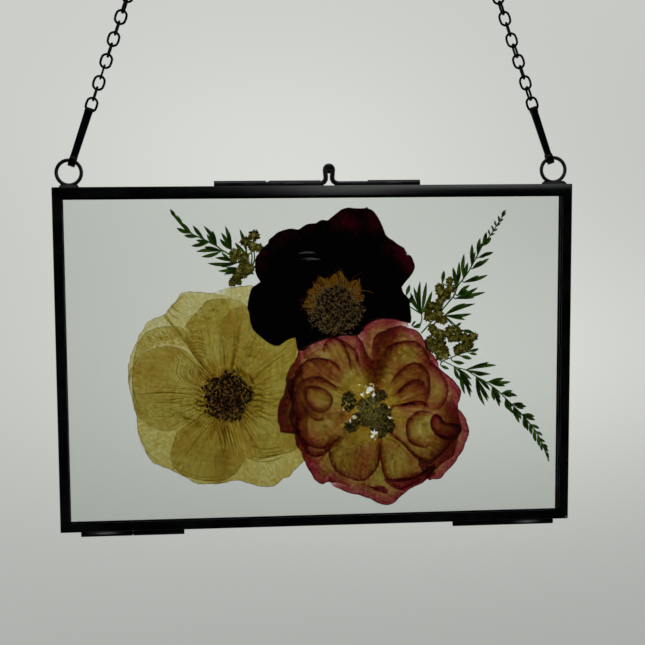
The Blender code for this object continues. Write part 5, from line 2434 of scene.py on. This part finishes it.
@dataclass(frozen=True)
class Studio:
    """The pale backdrop, the soft lamps and the floor under the hanging frame."""

    bench: Bench
    tint: Colour = (0.999, 1.02, 0.976)
    plain: float = 0.542
    rise: float = 0.337
    drift: float = -0.04
    glows: tuple[SoftSpot, ...] = (
        SoftSpot((0.0625, 0.0115), (0.181, 0.093), 0.126),
        SoftSpot((0.1575, -0.144), (0.267, 0.104), 0.218),
    )
    least: float = 0.36
    most: float = 0.8
    least_ahead: float = 0.25
    behind: float = 0.3
    front: float = 0.004
    turn_of_room: tuple[float, float] = (-0.4, 0.7)
    lamps: tuple[Lamp, ...] = (
        Lamp("soft_top", (0.05, -0.25, 0.9), 0.7, 4.4),
        Lamp("soft_left", (-0.7, -0.8, 0.35), 0.8, 4.4),
        Lamp("soft_right", (0.8, -0.5, 0.2), 0.5, 2.2),
    )
    floor_drop: float = 0.268
    floor_radius: float = 0.5
    floor_solid: float = 0.6
    floor_colours: tuple[Colour, Colour] = ((0.62, 0.62, 0.6), (0.7, 0.7, 0.68))
    floor_rough: float = 0.85

    def build(self) -> None:
        """Makes the world, hangs the lamps and lays the floor."""
        self.backdrop()
        for lamp in self.lamps:
            lamp.hang(Vector(self.bench.origin), self.bench.origin[2])
        self.floor()

    def backdrop(self) -> None:
        """Makes the world: a pale wall seen straight or through glass, and a dim room for reflections."""
        world = bpy.data.worlds.new("studio")
        world.use_nodes = True
        bpy.context.scene.world = world
        wires = Wiring(world.node_tree)
        x, y, z = wires.axes(wires.add("ShaderNodeTexCoord").outputs["Generated"])
        ahead = wires.sum("MAXIMUM", y, self.least_ahead)
        aside, above = wires.sum("DIVIDE", x, ahead), wires.sum("DIVIDE", z, ahead)
        level = wires.scaled(above, self.rise, self.plain)
        level = wires.scaled(aside, self.drift, level)
        for glow in self.glows:
            level = glow.added(wires, aside, above, level)
        level = wires.sum("MINIMUM", wires.sum("MAXIMUM", level, self.least), self.most)
        wall = wires.mix(1.0, self.tint, level, "MULTIPLY")
        room = wires.span(y, *self.turn_of_room, self.front, self.behind)
        rays = wires.add("ShaderNodeLightPath").outputs
        seen = rays["Is Transmission Ray"]
        for bounced in ("Diffuse Depth", "Glossy Depth"):
            seen = wires.times(wires.sum("LESS_THAN", rays[bounced], 0.5), seen)
        seen = wires.sum("MAXIMUM", rays["Is Camera Ray"], seen)
        background = world.node_tree.nodes["Background"]
        wires.feed(background.inputs["Color"], wires.mix(seen, room, wall))
        background.inputs["Strength"].default_value = 1.0

    def floor(self) -> Piece:
        """Makes the round pale floor, which fades out at its edge.

        Returns:
            The floor.
        """
        clear_selection()
        x, y, z = self.bench.origin
        place, radius = (x, y, z - self.floor_drop), self.floor_radius
        bpy.ops.mesh.primitive_circle_add(vertices=96, radius=radius, fill_type="NGON", location=place)
        disc = bpy.context.object
        disc.name = "studio_floor"
        bpy.ops.object.transform_apply(location=True, rotation=True, scale=True)
        material, wires, shader = new_material("pale_floor")
        spot = wires.place()
        across, away, _ = wires.axes(spot)
        flat = wires.add("ShaderNodeVectorMath", operation="LENGTH")
        wires.feed(flat.inputs[0], wires.vector(across, away))
        fade = wires.span(flat.outputs["Value"], radius * self.floor_solid, radius, 1.0, 0.0)
        colour = wires.mix(wires.noise(spot, 60.0, 4.0), *self.floor_colours)
        wires.fill(shader, {"Base Color": colour, "Alpha": fade, "Roughness": self.floor_rough})
        disc.data.materials.append(material)
        return disc


# ---- Assembly ----


def dress_cad_nodes(nodes: dict[str, Piece], wear: Tree, metal: Material) -> None:
    """Gives the glass, the latch and rings, and the rest of the metal their finishes; the latch and rings
    take a lighter copy of the patina that paints part of their sheen.

    Args:
        nodes: the CAD nodes by name.
        wear: the wear group.
        metal: the finish of most of the metal.
    """
    glass, rubbed = ClearGlass().build(wear), PAINTED_SHEEN_PATINA.build(wear)
    for name, node in sorted(nodes.items()):
        # The latch and rings take the lighter patina, whose colour is partly painted sheen.
        takes_sheen_patina = name.startswith("latch_") or name.endswith("_ring")
        node.data.materials.clear()
        node.data.materials.append(glass if name.endswith("_glass") else rubbed if takes_sheen_patina else metal)


def heart_holes(view: PhotoView) -> list[Point3]:
    """Finds the torn places round the ruffled flower's middle: world X, Z and radius of each.

    Args:
        view: the camera's view.

    Returns:
        The places.
    """
    holes = []
    for x_crop, y_crop, size in HEART_HOLES:
        x, z = Crop(view, *RUFFLED_FLOWER.crop).at((x_crop, y_crop))
        spot = view.bench.world(np.array([x, 0.0, z]))
        holes.append((float(spot[0]), float(spot[2]), size * MM))
    return holes


def press_flowers(view: PhotoView) -> None:
    """Makes the three flowers, the sprigs and the buds between the panes.

    Args:
        view: the camera's view, in which they were read.
    """
    fibres, holes = petal_fibre_group(), heart_holes(view)
    FlowerPetals(view, CREAM_FILM.build(fibres), CREAM_FLOWER, Slot.CREAM).build()
    FlowerPetals(view, DARK_FILM.build(fibres), DARK_FLOWER, Slot.DARK).build()
    FlowerPetals(view, ROSE_FILM.build(fibres, holes), RUFFLED_FLOWER, Slot.ROSE).build()
    RuffledCurls(view, CURL_FILM.build(fibres, holes)).build()
    # The crease film is for creases and veins; the sheen film paints pale streaks of light on the dark
    # petals.
    crease, sheen_streaks = CREASE_FILM.build(fibres), SHEEN_STREAK_FILM.build(fibres)
    PetalCreasesAndSheen(view, crease, CREAM_FLOWER, Slot.CREAM, 0.04, CREAM_CREASES, CREAM_VEINS).build()
    PetalCreasesAndSheen(view, crease, RUFFLED_FLOWER, Slot.ROSE, -0.69, RUFFLED_CREASES, RUFFLED_VEINS).build()
    # Pale streaks of painted sheen on the dark flower.
    PetalCreasesAndSheen(view, sheen_streaks, DARK_FLOWER, Slot.DARK, -0.7, DARK_SHEEN_STREAKS, ()).build()
    CreamHeart(view, PURPLE_GRAINS.build()).build()
    GoldenHeart(view, GOLDEN_GRAINS.build()).build()
    OliveHeart(view, OLIVE_GRAINS.build()).build()
    FernSprigs(view, SPRIG_FILM.build()).build()
    DryBuds(view, BUD_GRAINS.build()).build()


def main() -> None:
    """Builds the pieces in order, dresses them, lights them and reports each one."""
    logging.basicConfig(level=logging.INFO, format="%(message)s")
    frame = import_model()
    nodes = frame["nodes"]
    scene = bpy.context.scene
    scene.view_settings.view_transform = "Standard"
    scene.cycles.transparent_max_bounces = 64

    bench = Bench.from_frame()
    view = PhotoView(bench)
    view.build()

    wear = wear_group()
    face = bench.box("front_top_rail")[0][1]
    # Painted highlights on the top rail and the hinges are mixed into the metal's colour.
    metal = BlackPatina().build(wear, [place.on_bench(view, face) for place in PAINTED_GLINTS])
    dress_cad_nodes(nodes, wear, metal)

    chain = Chain(bench, metal)
    for side in Side:
        chain.build(side)
    press_flowers(view)
    Studio(bench).build()


if __name__ == "__main__":
    main()
